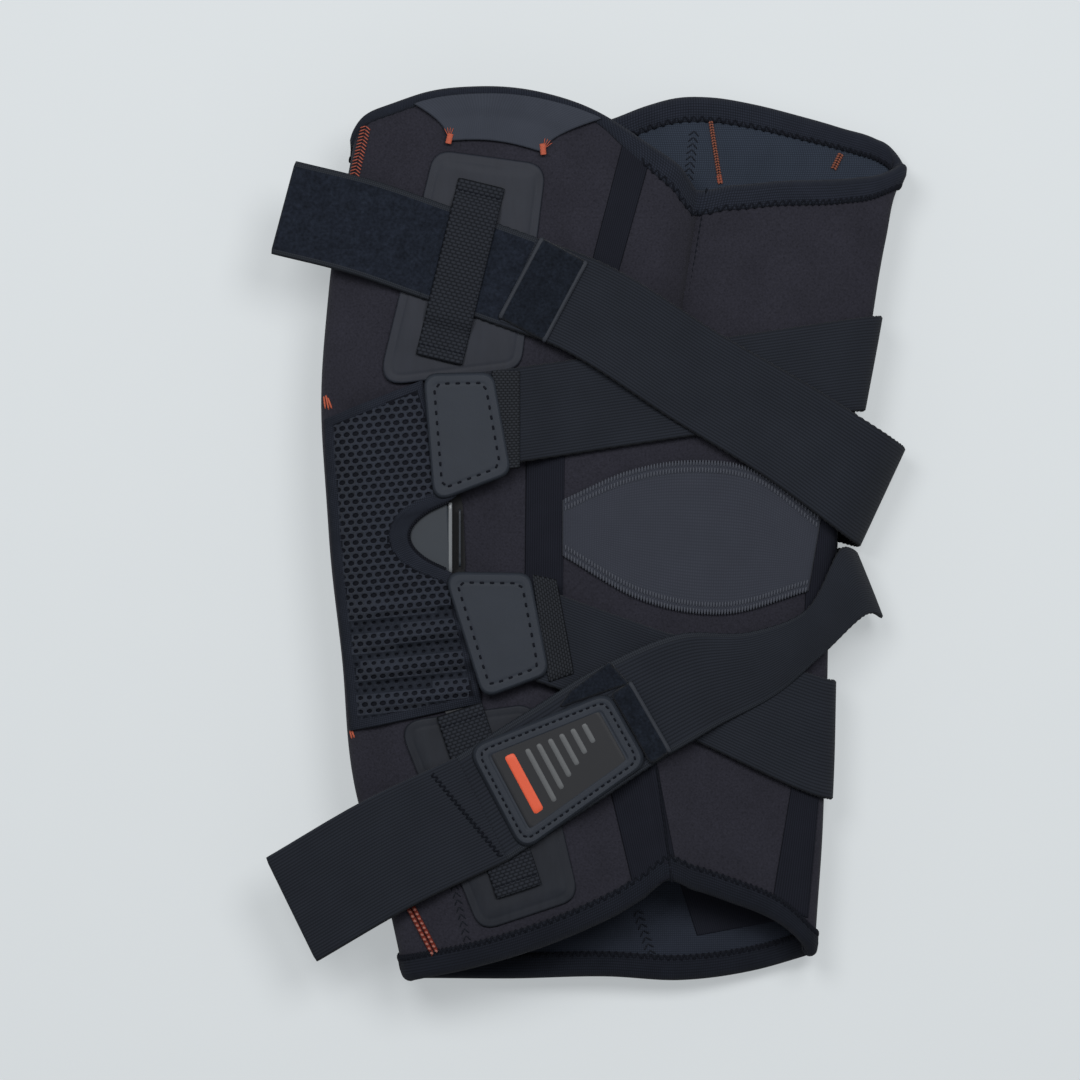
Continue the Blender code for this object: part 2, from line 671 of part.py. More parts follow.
def pocket_patch(name, side, corners):
    """A sewn pocket: high over the arm, sloping to the sleeve on three edges, open at the hinge end."""
    a, b, c, d = (Vector(p) for p in graded_points(corners))
    columns, lengths = PATCH_STEPS
    wide = ((b - a).length + (c - d).length) / 2
    long = ((d - a).length + (c - b).length) / 2
    rows = []
    for j in range(lengths + 1):
        row = []
        for i in range(columns + 1):
            p = a.lerp(b, i / columns).lerp(d.lerp(c, i / columns), j / lengths)
            from_edge = min(i / columns * wide, (1 - i / columns) * wide, (1 - j / lengths) * long)
            rise = smoothstep(0.0, PATCH_SLOPE, from_edge)
            row.append((p.x, p.y, mix(PATCH_EDGE_LIFT, PATCH_BASE, rise) + PATCH_THICKNESS / 2))
        rows.append(row)
    side_sheet(name, side, rows, PATCH_THICKNESS, POCKET, PATCH_CORNER)


def keeper(name, side, ends, strap_centre, over, reach):
    """A webbing loop along the arm, raised over the strap that it holds."""
    start, end, held = (Vector(p) for p in graded_points([*ends, strap_centre]))
    heading = (end - start).normalized()
    across = Vector((-heading.y, heading.x)) * KEEPER_WIDTH / 2
    centre = (held - start).dot(heading)
    rows = []
    for j in range(KEEPER_STEPS + 1):
        along = (end - start).length * j / KEEPER_STEPS
        rise = 1 - smoothstep(reach, reach + KEEPER_RAMP, abs(along - centre))
        height = mix(OVER_PATCH, over, rise) + KEEPER_THICKNESS / 2
        middle = start + heading * along
        rows.append([(*(middle + across * k), height) for k in (-1, 0, 1)])
    side_sheet(name, side, rows, KEEPER_THICKNESS, WEBBING)


def mesh_cover(name, side):
    """An air mesh panel from the front fold over the hinge, with a rounded notch that shows the hinge."""
    edge = [(y if abs(y) < MESH_NOTCH_HALF else graded(y), x) for y, x in MESH_RIGHT_SIDE]
    right_edge = through(edge)
    left_span = [graded(y) for y in MESH_LEFT_SPAN]
    columns, lengths = MESH_STEPS
    rows = []
    for j in range(lengths + 1):
        left_y = mix(*left_span, j / lengths)
        right_y = mix(edge[0][0], edge[-1][0], j / lengths)
        row = []
        for i in range(columns + 1):
            y = mix(left_y, right_y, i / columns)
            x = mix(left_side(y) + MESH_SIDE_MARGIN, right_edge(right_y), i / columns)
            low = surface_height(1, x, y) - NEAR_Z + PATCH_EDGE_LIFT
            high = mix(MESH_BASE, OVER_PATCH, smoothstep(*MESH_END_FALL, abs(y)))
            rise = smoothstep(0.0, MESH_RISE, x - left_side(y) - MESH_SIDE_MARGIN)
            row.append((x, y, mix(low, high, rise) + MESH_THICKNESS / 2))
        rows.append(row)
    side_sheet(name, side, rows, MESH_THICKNESS, AIR_MESH)


def make_side(label, side):
    make_hinge(label, side)
    mesh_cover(label + "_mesh_cover", side)
    pocket_patch(label + "_upper_pocket", side, UPPER_PATCH)
    pocket_patch(label + "_lower_pocket", side, LOWER_PATCH)
    reach = STRAP_WIDTH / 2 + KEEPER_EASE
    keeper(label + "_upper_keeper", side, UPPER_KEEPER, UPPER_KEEPER_MIDDLE, OVER_UPPER_STRAP, reach)
    keeper(label + "_lower_keeper", side, LOWER_KEEPER, LOWER_KEEPER_MIDDLE, OVER_PATCH, reach)
    plate(label + "_upper_tab", side, [rounded(UPPER_TAB, TAB_CORNER)], TAB_BASE, TAB_THICKNESS, RUBBER)
    plate(label + "_lower_tab", side, [rounded(LOWER_TAB, TAB_CORNER)], TAB_BASE, TAB_THICKNESS, RUBBER)


# Straps

def anchor_strap(name, stations, free, far_over):
    """A strap from an outer tab round the back edge to the inner keeper, laid on the sleeve all the way."""
    (root_x, root_y), (_, edge_y), (end_x, end_y) = graded_points(stations)
    rows = []
    first = turn_of(root_x, root_y)
    last = 1 - turn_of(end_x, end_y)
    for j in range(ANCHOR_STEPS + 1):
        turn = mix(first, last, j / ANCHOR_STEPS)
        row = []
        for k in (-1, 0, 1):
            share = (1 - math.cos(2 * math.pi * turn)) / 2
            root_share = (1 - math.cos(2 * math.pi * first)) / 2
            end_share = (1 - math.cos(2 * math.pi * last)) / 2
            if turn < 0.5:
                y = mix(root_y, edge_y, (share - root_share) / (1 - root_share))
            else:
                y = mix(edge_y, end_y, (1 - share) / (1 - end_share))
            y += k * STRAP_WIDTH / 2
            x = sleeve_point(turn, y).x
            if turn < 0.5:
                lay = mix(STRAP_ROOT, STRAP_LAY, smoothstep(free, free + ANCHOR_RAMP, x))
            else:
                lay = mix(far_over, STRAP_LAY, smoothstep(*FAR_RAMP, x))
            row.append(sleeve_point(turn, y) + sleeve_normal(turn, y) * (lay + STRAP_THICKNESS / 2))
        rows.append(row)
    cloth(name, rows, STRAP_THICKNESS, ELASTIC)


def cross_strap(name, near, fold, far, over, descent):
    """A strap over the back of the knee that folds at the back edge and runs below to an inner tab."""
    near = graded_points(near)
    far = graded_points(far)
    fold_x, fold_y, angle, share = graded_points([fold])[0]
    inset = BACK_DEPTH / 4
    top = BACK_NEAR_Z + CROSSING / 2
    low = BACK_FAR_Z - STRAP_LAY - STRAP_THICKNESS / 4
    bend = [(fold_x - inset, fold_y + inset / 4, mix(low, top, 0.93), angle, share),
            (fold_x, fold_y, mix(low, top, 0.5), angle, share),
            (fold_x - inset, fold_y + inset / 4, mix(low, top, 0.07), angle, share)]
    laid_near = [(x, y, top, a, k) for x, y, a, k in near]
    laid_far = [(x, y, low, a, k) for x, y, a, k in far]
    stations = laid_near + bend + laid_far
    run = [0.0]
    for a, b in zip(stations, stations[1:]):
        run.append(run[-1] + (Vector(b[:2]) - Vector(a[:2])).length + abs(b[2] - a[2]))
    path = through([(r, *s) for r, s in zip(run, stations)])
    leave = run[len(near) - 1]
    land = run[len(near) + len(bend)]
    rows = []
    for j in range(CROSS_STEPS + 1):
        at = run[-1] * j / CROSS_STEPS
        x, y, z, angle, share = path(at)
        across = Vector(turned((share * STRAP_WIDTH / 2, 0.0), angle))
        row = []
        for k in (-1, 0, 1):
            px = x + across.x * k
            py = y + across.y * k
            above = mix(over, CROSSING, smoothstep(*descent, px)) + STRAP_THICKNESS / 2
            below = mix(STRAP_ROOT, STRAP_LAY, smoothstep(ANCHOR_FREE, ANCHOR_FREE + ANCHOR_RAMP, px))
            near_z = surface_height(1, px, py, BRIDGE_SHARE) + above
            far_z = surface_height(-1, px, py, BRIDGE_SHARE) - below - STRAP_THICKNESS / 2
            lift = mix(near_z, z, smoothstep(leave, leave + FOLD_EASE, at))
            row.append((px, py, mix(lift, far_z, smoothstep(land - FOLD_EASE, land, at))))
        rows.append(row)
    cloth(name, rows, STRAP_THICKNESS, ELASTIC)


def strap_tail(name, stations, width, over, droop, finish):
    """The free end of a cross strap, from just past its keeper, drooping toward its end."""
    stations = graded_points(stations)
    run = [0.0]
    for a, b in zip(stations, stations[1:]):
        run.append(run[-1] + (Vector(b[:2]) - Vector(a[:2])).length)
    path = through([(r, *s) for r, s in zip(run, stations)])
    rows = []
    for j in range(TAIL_STEPS + 1):
        x, y, angle = path(mix(TAIL_GAP, run[-1], j / TAIL_STEPS))
        across = Vector(turned((width / 2, 0.0), angle))
        z = NEAR_Z + over + STRAP_THICKNESS / 2 - droop * (j / TAIL_STEPS) ** 2
        rows.append([(x + across.x * k, y + across.y * k, z) for k in (-1, 0, 1)])
    cloth(name, rows, STRAP_THICKNESS, finish)


def upper_hook():
    """Corners of the hook patch across the upper cross strap."""
    x, y = graded_points([UPPER_HOOK_MIDDLE])[0]
    half = (UPPER_HOOK_LENGTH / 2, STRAP_WIDTH * HOOK_WIDTH_SHARE / 2)
    corners = []
    for i, j in ((-1, -1), (1, -1), (1, 1), (-1, 1)):
        dx, dy = turned((i * half[0], j * half[1]), UPPER_HOOK_LEAN)
        corners.append((x + dx, y + dy))
    return corners


def make_straps():
    anchor_strap("upper_anchor_strap", UPPER_ANCHOR, ANCHOR_FREE, OVER_PATCH)
    anchor_strap("lower_anchor_strap", LOWER_ANCHOR, LOWER_ANCHOR_FREE, OVER_LOWER_KEEPER)
    cross_strap("upper_cross_strap", UPPER_CROSS_NEAR, UPPER_CROSS_FOLD, UPPER_CROSS_FAR, OVER_PATCH,
                CROSS_DESCENT)
    cross_strap("lower_cross_strap", LOWER_CROSS_NEAR, LOWER_CROSS_FOLD, LOWER_CROSS_FAR, OVER_LOWER_KEEPER,
                LOWER_DESCENT)
    strap_tail("upper_strap_tail", UPPER_TAIL, STRAP_WIDTH, OVER_PATCH, UPPER_TAIL_DROOP, LOOP_PILE)
    strap_tail("lower_strap_tail", LOWER_TAIL, TAIL_WIDTH, OVER_LOWER_KEEPER, LOWER_TAIL_DROOP, ELASTIC)
    hook = rounded(upper_hook(), HOOK_CORNER)
    lower_hook = rounded(graded_points(LOWER_HOOK), HOOK_CORNER)
    badge = rounded(graded_points(BADGE), BADGE_CORNER)
    plate("upper_hook_patch", 1, [hook], OVER_UPPER_STRAP, HOOK_THICKNESS, LOOP_PILE)
    plate("lower_hook_patch", 1, [lower_hook], OVER_LOWER_STRAP, HOOK_THICKNESS, LOOP_PILE)
    plate("strap_badge", 1, [badge], OVER_LOWER_STRAP, BADGE_THICKNESS, RUBBER)


make_sleeve()
make_panel()
make_flap()
make_side("lateral", 1)
make_side("medial", -1)
make_straps()
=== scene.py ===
"""Looks of the hinged soft knee support, seen from straight above on a pale table.

Soft pieces are drawn in millimetres in the knee frame, whose x, y zero is near the hinge centre, and placed
in the part's frame by world(). The thigh lies toward +Y and the back of the knee toward +X.
"""

import math

import bmesh
import bpy
import numpy as np
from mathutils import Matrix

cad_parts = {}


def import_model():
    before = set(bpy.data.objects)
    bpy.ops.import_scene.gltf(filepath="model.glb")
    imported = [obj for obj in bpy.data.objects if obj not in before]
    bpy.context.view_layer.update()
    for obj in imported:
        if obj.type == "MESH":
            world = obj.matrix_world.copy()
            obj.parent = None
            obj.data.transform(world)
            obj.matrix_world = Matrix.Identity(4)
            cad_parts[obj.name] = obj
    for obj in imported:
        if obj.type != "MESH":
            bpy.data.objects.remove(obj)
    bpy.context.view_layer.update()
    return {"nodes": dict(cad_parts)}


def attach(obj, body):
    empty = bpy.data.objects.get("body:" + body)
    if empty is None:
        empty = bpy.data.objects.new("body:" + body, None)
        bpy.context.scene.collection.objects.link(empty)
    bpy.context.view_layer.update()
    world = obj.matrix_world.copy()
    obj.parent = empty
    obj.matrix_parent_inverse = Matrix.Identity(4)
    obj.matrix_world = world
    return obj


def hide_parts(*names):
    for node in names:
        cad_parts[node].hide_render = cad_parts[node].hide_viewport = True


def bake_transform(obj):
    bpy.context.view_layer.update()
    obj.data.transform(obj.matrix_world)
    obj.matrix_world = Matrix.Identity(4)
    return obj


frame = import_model()

MM = 0.001
UP = np.array((0.0, 0.0, 1.0))
KNEE = np.array((-64.0, -1.0, 0.0))
BEND_REACH = 118.0
BOTH_SLEEVES = ["thigh_sleeve", "calf_sleeve"]

# Heights above the table of the flat sides, and of the layers above a flat side
FAR_Z = 11.9
NEAR_Z = 41.9
TOP_Z = 53.8
BACK_FAR_Z = 3.8
BACK_NEAR_Z = 29.8
BACK_FALL = (72.0, 150.0)
PATCH_EDGE = 3.5
PATCH_BASE = 4.2
OVER_PATCH = 5.8
OVER_UPPER_STRAP = 7.8
OVER_LOWER_KEEPER = 7.4
OVER_LOWER_STRAP = 9.4
STRAP_LAY = 2.2
CROSSING = 4.2
STRAP_ROOT = 8.0
MESH_BASE = 8.3
TAB_BASE = 9.9

# Thicknesses and widths
SLEEVE_THICKNESS = 4.0
SLEEVE_SQUARENESS = 6.0
THIGH_GIRTH = 450.0
CALF_GIRTH = 400.0
FILM_THICKNESS = 1.2
TAB_THICKNESS = 2.0
BADGE_THICKNESS = 2.2
STRAP_WIDTH = 37.0
TAIL_WIDTH = 45.0
STRAP_THICKNESS = 1.6
KEEPER_WIDTH = 18.0
KEEPER_THICKNESS = 1.2

# Sleeve outlines: (y, x) along the sides and (share of width, y) along the ends
LEFT_SIDE = [(-178, -9), (-150, -15), (-100, -29), (-50, -34.5), (0, -39.6), (55, -42.4), (100, -39.5),
             (156, -30)]
RIGHT_SIDE = [(-170, 155), (-97, 159), (-25, 161.5), (23, 167), (88, 178.5), (121, 184), (138, 187.5),
              (146, 191), (152, 192), (158, 190.5), (166, 187)]
NEAR_TOP = [(0, 161), (0.05, 169), (0.12, 176.5), (0.23, 180), (0.34, 178), (0.475, 167), (0.55, 155),
            (0.645, 143), (0.8, 143.2), (0.91, 144.2), (0.96, 146), (1, 150.5)]
FAR_TOP = [(0, 161), (0.2, 164), (0.475, 168.5), (0.54, 174), (0.6, 177.5), (0.66, 177.8), (0.74, 175.2),
           (0.82, 171), (0.91, 165.3), (0.96, 161.3), (0.985, 157.3), (1, 150.5)]
NEAR_BOTTOM = [(0, -177), (0.18, -171), (0.38, -161), (0.52, -151), (0.65, -140), (0.8, -146), (0.94, -158),
               (1, -168)]
FAR_BOTTOM = [(0, -177), (0.25, -177.4), (0.5, -176.6), (0.67, -178.2), (0.86, -174.4), (1, -168)]

# Shaping of the sleeve: a shoulder, a corner in each near rim, folds as (start, end, height, reach, power)
SHOULDER, SHOULDER_SHARE = 4.0, 0.022
CORNER_DEPTH = 4.0
TOP_CORNER = (0.645, 0.05)
BOTTOM_CORNER = (0.65, 0.055)
FOLDS = [((98.5, -150.0), (89.0, -88.0), 4.2, 16.0, 1.25), ((112.5, 152.0), (100.0, 70.0), -6.5, 13.0, 1.25),
         ((112.5, 152.0), (100.0, 70.0), -1.2, 1.8, 1.0), ((96.0, -143.0), (86.5, -88.0), -0.9, 1.8, 1.0)]
ARM_RISE, ARM_REACH = 3.4, 20.0
DRIFT = 0.35
MOUTH_HEM = 3.5
SLEEVE_ROWS, SLEEVE_AROUND = 90, 420

# Edge bindings: the outer profile as (distance from the rim, share of the half thickness), and its stitches
BINDING_PROFILE = [(10.2, 0.75), (9.6, 1.0), (7.5, 1.02), (5.0, 1.1)]
BINDING_BEND = np.radians((80, 60, 40, 20, 0))
BINDING_AROUND = 260
BINDING_GIRTH = 450.0
BINDING_STEP = 1.6
LOBE_SLIMMING, LOBE_END = 0.55, (0.44, 0.5)
PUCKER, PUCKERS, PUCKER_FROM = 0.2, 95, 6.5
ZIGZAGS, ZIGZAG_ROWS, ZIGZAG_LAY = 190, (7.8, 10.5), 0.75
LOBE_BACK_X = 84.0

# Corners of the flat pieces
UPPER_PATCH = [(-19.5, 60.5), (37, 67.5), (47, 148), (3, 154)]
LOWER_PATCH = [(42, -66), (-11.5, -73.5), (21, -156), (60, -143)]
UPPER_TAB = [(-1, 64.5), (3, 14.5), (33, 26), (26, 65)]
LOWER_TAB = [(7, -14), (22.5, -63), (48, -53.5), (40.5, -14.5)]
BADGE = [(16.5, -83.5), (38, -124), (87, -89), (71.5, -61.5)]
UPPER_HOOK = [(29.1, 87.6), (46.4, 78.4), (62.9, 109.4), (45.6, 118.6)]
LOWER_HOOK_TOP = [(52.5, -67.2), (56.8, -60.8), (72.2, -49.4), (79.6, -57.8), (73.0, -60.0)]
LOWER_HOOK = [(73.3, -62.3), (88.6, -89.4), (96, -84.5), (80.5, -57.5)]
UPPER_ROOT_STRIP = [(26, 27), (36.5, 28), (36.5, 66), (26, 66)]
LOWER_ROOT_STRIP = [(51.2, -16.8), (58, -53.6), (48.4, -56.8), (42, -14.8)]
INNER_TAPE = [(108.2, -160.0), (142.0, -154.0), (142.0, -134.0), (101.0, -138.0)]
TAPES = [[(78.6, 160), (87.6, 148), (72.0, 92), (62.0, 96)],
         [(39.5, 40), (54.5, 40), (53.5, -32), (38.8, -32)],
         [(70.0, -88), (90.0, -84), (99.6, -134), (82.6, -141)],
         [(147.8, -86), (158, -86), (152.0, -152), (137.8, -146)],
         [(152.8, 16), (165, 16), (163, -32), (150.8, -32)]]

# Ends and edges of other pieces
UPPER_KEEPER = [(21.6, 140.5), (4.8, 71)]
LOWER_KEEPER = [(12.8, -68.5), (36.4, -140)]
UPPER_KEPT, LOWER_KEPT = (14.0, 109.0), (24.0, -107.0)
PANEL_LOWER = [(54, -7), (85, -24), (118, -29.5), (152, -21)]
PANEL_UPPER = [(54, 15), (80, 26), (106, 30), (132, 26), (157, 8)]
FLAP_RIM = (-5.0, 69.0)
FLAP_LIP_X, FLAP_LIP_Y = (8.6, 46.0), (158.2, 153.6)

# Air mesh: its outline, cells, and hole walls as (drop, share of the cell)
MESH_LEFT_SPAN = (-76.8, 47.2)
MESH_RIGHT_SPAN = (-65.6, 62.4)
MESH_RIGHT_SIDE = [(-65.6, 21.6), (-30, 14), (-13.5, 9), (-9, 0), (0.8, -7.6), (10.5, 0), (15.5, 10), (30, 8),
                   (62.4, -2)]
MESH_INSET = 1.5
NOTCH_SPAN = np.linspace(-12.5, 14.5, 60)
NOTCH_MIDDLE, NOTCH_REACH, NOTCH_BAND = 0.8, 17.0, 4.5
CELL_X, CELL_Y, CELL_LEAN = 3.6, 2.7, 0.10
CELL_RING = np.array([(-1, -1), (0, -1), (1, -1), (1, 0), (1, 1), (0, 1), (-1, 1), (-1, 0)], float)
HOLE_WALL = [(0.1, 0.8), (1.0, 0.72)]
NET_MARGIN, BORDER = 2.6, 3.4
CHANNEL_PITCH, CHANNEL_LEAN, CHANNEL_TOP, PUFF = 12.5, 0.16, -24.0, 1.6

# Straps, as in the part: middles, turns and shares of the width along their runs
UPPER_ANCHOR = [(18, 46), (175, 70), (-9, 110)]
LOWER_ANCHOR = [(29, -33), (160, -81), (-4, -108)]
UPPER_CROSS_NEAR = [(3.0, 113.5, 70.6, 1.0), (36.5, 101.5, 65.6, 1.0), (56, 94.5, 60.8, 1.0),
                    (108, 63.5, 60, 1.03), (150, 38.5, 62, 1.08), (166, 27.5, 64, 1.12)]
UPPER_CROSS_FOLD = (182, 16.4, 65, 1.15)
UPPER_CROSS_FAR = [(150, 25, 74, 1.05), (98, 40, 82, 1.0), (24, 46, 87, 1.0)]
LOWER_CROSS_NEAR = [(21.8, -107.4, 116.6, 1.22), (52, -88, 120, 1.2), (84, -67.8, 123, 1.16),
                    (107, -57, 112, 1.06), (135, -49.5, 116, 0.7), (154, -38, 114, 0.48)]
LOWER_CROSS_FOLD = (177, -19, 112, 0.74)
LOWER_CROSS_FAR = [(150, -34, 96, 0.9), (110, -40, 92, 1.0), (32, -36, 88, 1.0)]
UPPER_TAIL = [(2.6, 113.6, 70.6), (-26, 123.5, 72.5), (-57, 131.5, 75)]
LOWER_TAIL = [(21.3, -107.7, 116.6), (-14, -124.5, 116.3), (-54, -148, 116)]
TAIL_SEAM = (1.2, 11.0)
CROSS_DESCENT = (68.0, 112.0)
LOWER_DESCENT = (98.0, 128.0)
ANCHOR_FREE = 34.0
LOWER_ANCHOR_FREE = 43.0
ANCHOR_RAMP = 22.0
FAR_RAMP = (58.0, 98.0)
FLARE, FLARE_SPAN = 0.26, (0.62, 0.97)
FOLD_EASE = 18.0
FOLD_HEIGHTS = (0.93, 0.5, 0.07)
BRIDGE_SHARE = 0.9
VELVET_END = 35.0
WHOLE_RUN = 999.0
STRAP_TEETH = 0.25
ACROSS = np.linspace(-1, 1, 26)[None, :]
AT_EDGE = np.abs(ACROSS[:, :-1] + ACROSS[:, 1:]) / 2 > 0.93


# Curves and the sleeve's surface

def through(points):
    """A smooth function through (t, value) points, with slopes from their neighbours."""
    t = np.array([p[0] for p in points], float)
    value = np.array([p[1:] for p in points], float)
    slope = np.gradient(value, t, axis=0, edge_order=1)

    def at(where):
        where = np.clip(np.asarray(where, float), t[0], t[-1])
        i = np.clip(np.searchsorted(t, where, side="right") - 1, 0, len(t) - 2)
        h = (t[i + 1] - t[i])[..., None]
        k = (where - t[i])[..., None] / h
        a = (1 + 2 * k) * (1 - k) ** 2
        b = k * (1 - k) ** 2
        c = k * k * (3 - 2 * k)
        d = k * k * (k - 1)
        result = a * value[i] + b * h * slope[i] + c * value[i + 1] + d * h * slope[i + 1]
        return result[..., 0] if result.shape[-1] == 1 else result

    return at


left_side, right_side = through(LEFT_SIDE), through(RIGHT_SIDE)
near_top_curve, far_top = through(NEAR_TOP), through(FAR_TOP)
near_bottom_curve, far_bottom = through(NEAR_BOTTOM), through(FAR_BOTTOM)
panel_lower, panel_upper = through(PANEL_LOWER), through(PANEL_UPPER)
mesh_right = through(MESH_RIGHT_SIDE)


def smoothstep(low, high, t):
    k = np.clip((t - low) / (high - low), 0.0, 1.0)
    return k * k * (3 - 2 * k)


def mix(a, b, k):
    return a + (b - a) * k


def fade(distance, reach):
    """1 at no distance, falling evenly to 0 at the reach."""
    return np.maximum(0.0, 1 - distance / reach)


def bell(at, middle, width):
    """1 at the middle, falling smoothly to both sides."""
    return np.exp(-((at - middle) / width) ** 2)


def unit(vectors):
    return vectors / np.maximum(np.linalg.norm(vectors, axis=-1, keepdims=True), 1e-9)


def raised(flat, high):
    """(x, y) points with their heights, or with one height for all."""
    return np.concatenate([flat, np.broadcast_to(high, flat.shape[:-1])[..., None]], axis=-1)


def on_side(points, side):
    """The points as drawn for the near side (+1), or mirrored to the far side (-1)."""
    placed = np.array(points, float)
    if side < 0:
        placed[..., 2] = TOP_Z - placed[..., 2]
    return placed


def rim_corner(share, middle, reach):
    return CORNER_DEPTH * fade(np.abs(share - middle), reach)


def near_top(share):
    shoulder = SHOULDER * share / SHOULDER_SHARE * np.exp(1 - share / SHOULDER_SHARE)
    return near_top_curve(share) + shoulder - rim_corner(share, *TOP_CORNER)


def near_bottom(share):
    return near_bottom_curve(share) + rim_corner(share, *BOTTOM_CORNER)


def side_height(near, x, share):
    fall = smoothstep(*BACK_FALL, x)
    high = mix(NEAR_Z, BACK_NEAR_Z, fall)
    low = mix(FAR_Z, BACK_FAR_Z, fall)
    middle = (high + low) / 2
    swell = np.maximum(0.0, 1 - np.abs(2 * share - 1) ** SLEEVE_SQUARENESS) ** (1 / SLEEVE_SQUARENESS)
    return middle + swell * (np.where(near, high, low) - middle)


def share_at(x, y):
    """Share of the sleeve's width, from its front edge to its back edge."""
    return (x - left_side(y)) / (right_side(y) - left_side(y))


def share_of(turn):
    """The same share at a turn, which runs 0 to 1 from the front fold over the near side and back below."""
    return (1 - np.cos(2 * np.pi * turn)) / 2


def surface_height(side, x, y, most=1.0):
    """Height of the near (+1) or far (-1) side over (x, y), held level past a share of the width."""
    return side_height(side > 0, x, np.clip(share_at(x, y), 0.0, most))


def sleeve_point(turn, y):
    share = share_of(turn)
    x = mix(left_side(y), right_side(y), share)
    return np.stack([x, y + 0 * x, side_height(turn % 1.0 < 0.5, x, share)], axis=-1)


def sleeve_normal(turn, y):
    step = 0.004
    along = sleeve_point(turn + step, y) - sleeve_point(turn - step, y)
    return unit(np.stack([-along[..., 2], 0 * along[..., 0], along[..., 0]], axis=-1))


def turn_of(x, y):
    return float(np.arccos(1 - 2 * np.clip(share_at(x, y), 0.0, 1.0)) / (2 * np.pi))


def to_segment(points, start, end):
    """Distance of each (x, y) from a segment."""
    start, end = np.array(start, float), np.array(end, float)
    run = end - start
    k = np.clip(((points - start) @ run) / (run @ run), 0, 1)
    return np.linalg.norm(points - start - k[..., None] * run, axis=-1)


def edge_distance(points, outline):
    edges = zip(outline, np.roll(outline, -1, axis=0))
    return np.minimum.reduce([to_segment(points, a, b) for a, b in edges])


def inside(points, outline):
    hit = np.zeros(points.shape[:-1], bool)
    x, y = points[..., 0], points[..., 1]
    for a, b in zip(outline, np.roll(outline, -1, axis=0)):
        crosses = (a[1] > y) != (b[1] > y)
        hit ^= crosses & (x < a[0] + (y - a[1]) * (b[0] - a[0]) / (b[1] - a[1] + 1e-12))
    return hit


def resampled(line, spacing, closed=False):
    line = np.array(line, float)
    if closed:
        line = np.concatenate([line, line[:1]])
    run = np.concatenate([[0], np.cumsum(np.linalg.norm(np.diff(line, axis=0), axis=1))])
    count = max(3, int(round(run[-1] / spacing)))
    at = np.linspace(0, run[-1], count + 1)
    even = np.stack([np.interp(at, run, line[:, c]) for c in range(line.shape[1])], axis=-1)
    return even[:-1] if closed else even


def rounded(corners, radius, spacing=1.2):
    """A closed outline with round corners and even points."""
    corners = np.array(corners, float)
    line = []
    for here, last, following in zip(corners, np.roll(corners, 1, axis=0), np.roll(corners, -1, axis=0)):
        before, after = unit(last - here), unit(following - here)
        reach = radius / math.tan(math.acos(float(np.clip(before @ after, -1, 1))) / 2)
        for k in np.linspace(0, 1, 9):
            line.append((1 - k) ** 2 * (here + before * reach) + 2 * k * (1 - k) * here
                        + k * k * (here + after * reach))
    return resampled(line, spacing, True)


# Materials

def node(tree, kind, inputs=(), **settings):
    made = tree.nodes.new(kind)
    for key, value in settings.items():
        setattr(made, key, value)
    for key, value in dict(inputs).items():
        if isinstance(value, bpy.types.NodeSocket):
            tree.links.new(value, made.inputs[key])
        else:
            made.inputs[key].default_value = value
    return made


def calc(tree, operation, a, b=0.0):
    return node(tree, "ShaderNodeMath", {0: a, 1: b}, operation=operation).outputs[0]


def ridge(tree, along, pitch):
    """|sin| across a coordinate, one crest for each pitch."""
    return calc(tree, "ABSOLUTE", calc(tree, "SINE", calc(tree, "MULTIPLY", along, math.pi / pitch)))


def noise(tree, scale, detail=2.0, stretch=None):
    place = node(tree, "ShaderNodeTexCoord").outputs["Object"]
    if stretch:
        place = node(tree, "ShaderNodeMapping", {"Vector": place, "Scale": stretch}).outputs[0]
    return node(tree, "ShaderNodeTexNoise", {"Vector": place, "Scale": scale, "Detail": detail}).outputs[0]


def cloth_place(tree):
    """The piece's own flat coordinates in millimetres."""
    place = node(tree, "ShaderNodeUVMap", uv_map="cloth").outputs[0]
    return node(tree, "ShaderNodeSeparateXYZ", {0: place}).outputs


def weave(tree, pattern, pitch):
    """Height 0 to 1 of a cloth pattern: ribs with short picks, a square knit or staggered bricks."""
    pick_shift, pick_pitch, pick_depth, brick_row, brick_shift = 0.45, 0.9, 0.28, 0.62, 0.5
    u, v, _ = cloth_place(tree)
    if pattern == "rib":
        column = calc(tree, "FLOOR", calc(tree, "DIVIDE", u, pitch))
        pick = calc(tree, "ADD", v, calc(tree, "MULTIPLY", column, pitch * pick_shift))
        picks = calc(tree, "MULTIPLY", ridge(tree, pick, pitch * pick_pitch), pick_depth)
        return calc(tree, "MULTIPLY", ridge(tree, u, pitch), calc(tree, "ADD", 1 - pick_depth, picks))
    if pattern == "knit":
        return calc(tree, "MULTIPLY", ridge(tree, u, pitch), ridge(tree, v, pitch))
    row = calc(tree, "FLOOR", calc(tree, "DIVIDE", v, pitch * brick_row))
    shifted = calc(tree, "ADD", u, calc(tree, "MULTIPLY", row, pitch * brick_shift))
    brick = calc(tree, "MULTIPLY", ridge(tree, shifted, pitch), ridge(tree, v, pitch * brick_row))
    return calc(tree, "SQRT", brick)


def speckle(tree, pitch):
    """1 inside small round dots on a staggered grid, and 0 between them."""
    dot_size = 0.009
    flat = cloth_place(tree)
    away = 1.0
    for shift in (0.0, 0.5):
        squares = 0.0
        for axis in (0, 1):
            at = calc(tree, "ADD", calc(tree, "DIVIDE", flat[axis], pitch), shift)
            off = calc(tree, "SUBTRACT", calc(tree, "FRACT", at), 0.5)
            squares = calc(tree, "ADD", calc(tree, "MULTIPLY", off, off), squares)
        away = calc(tree, "MINIMUM", squares, away)
    return calc(tree, "LESS_THAN", away, dot_size)


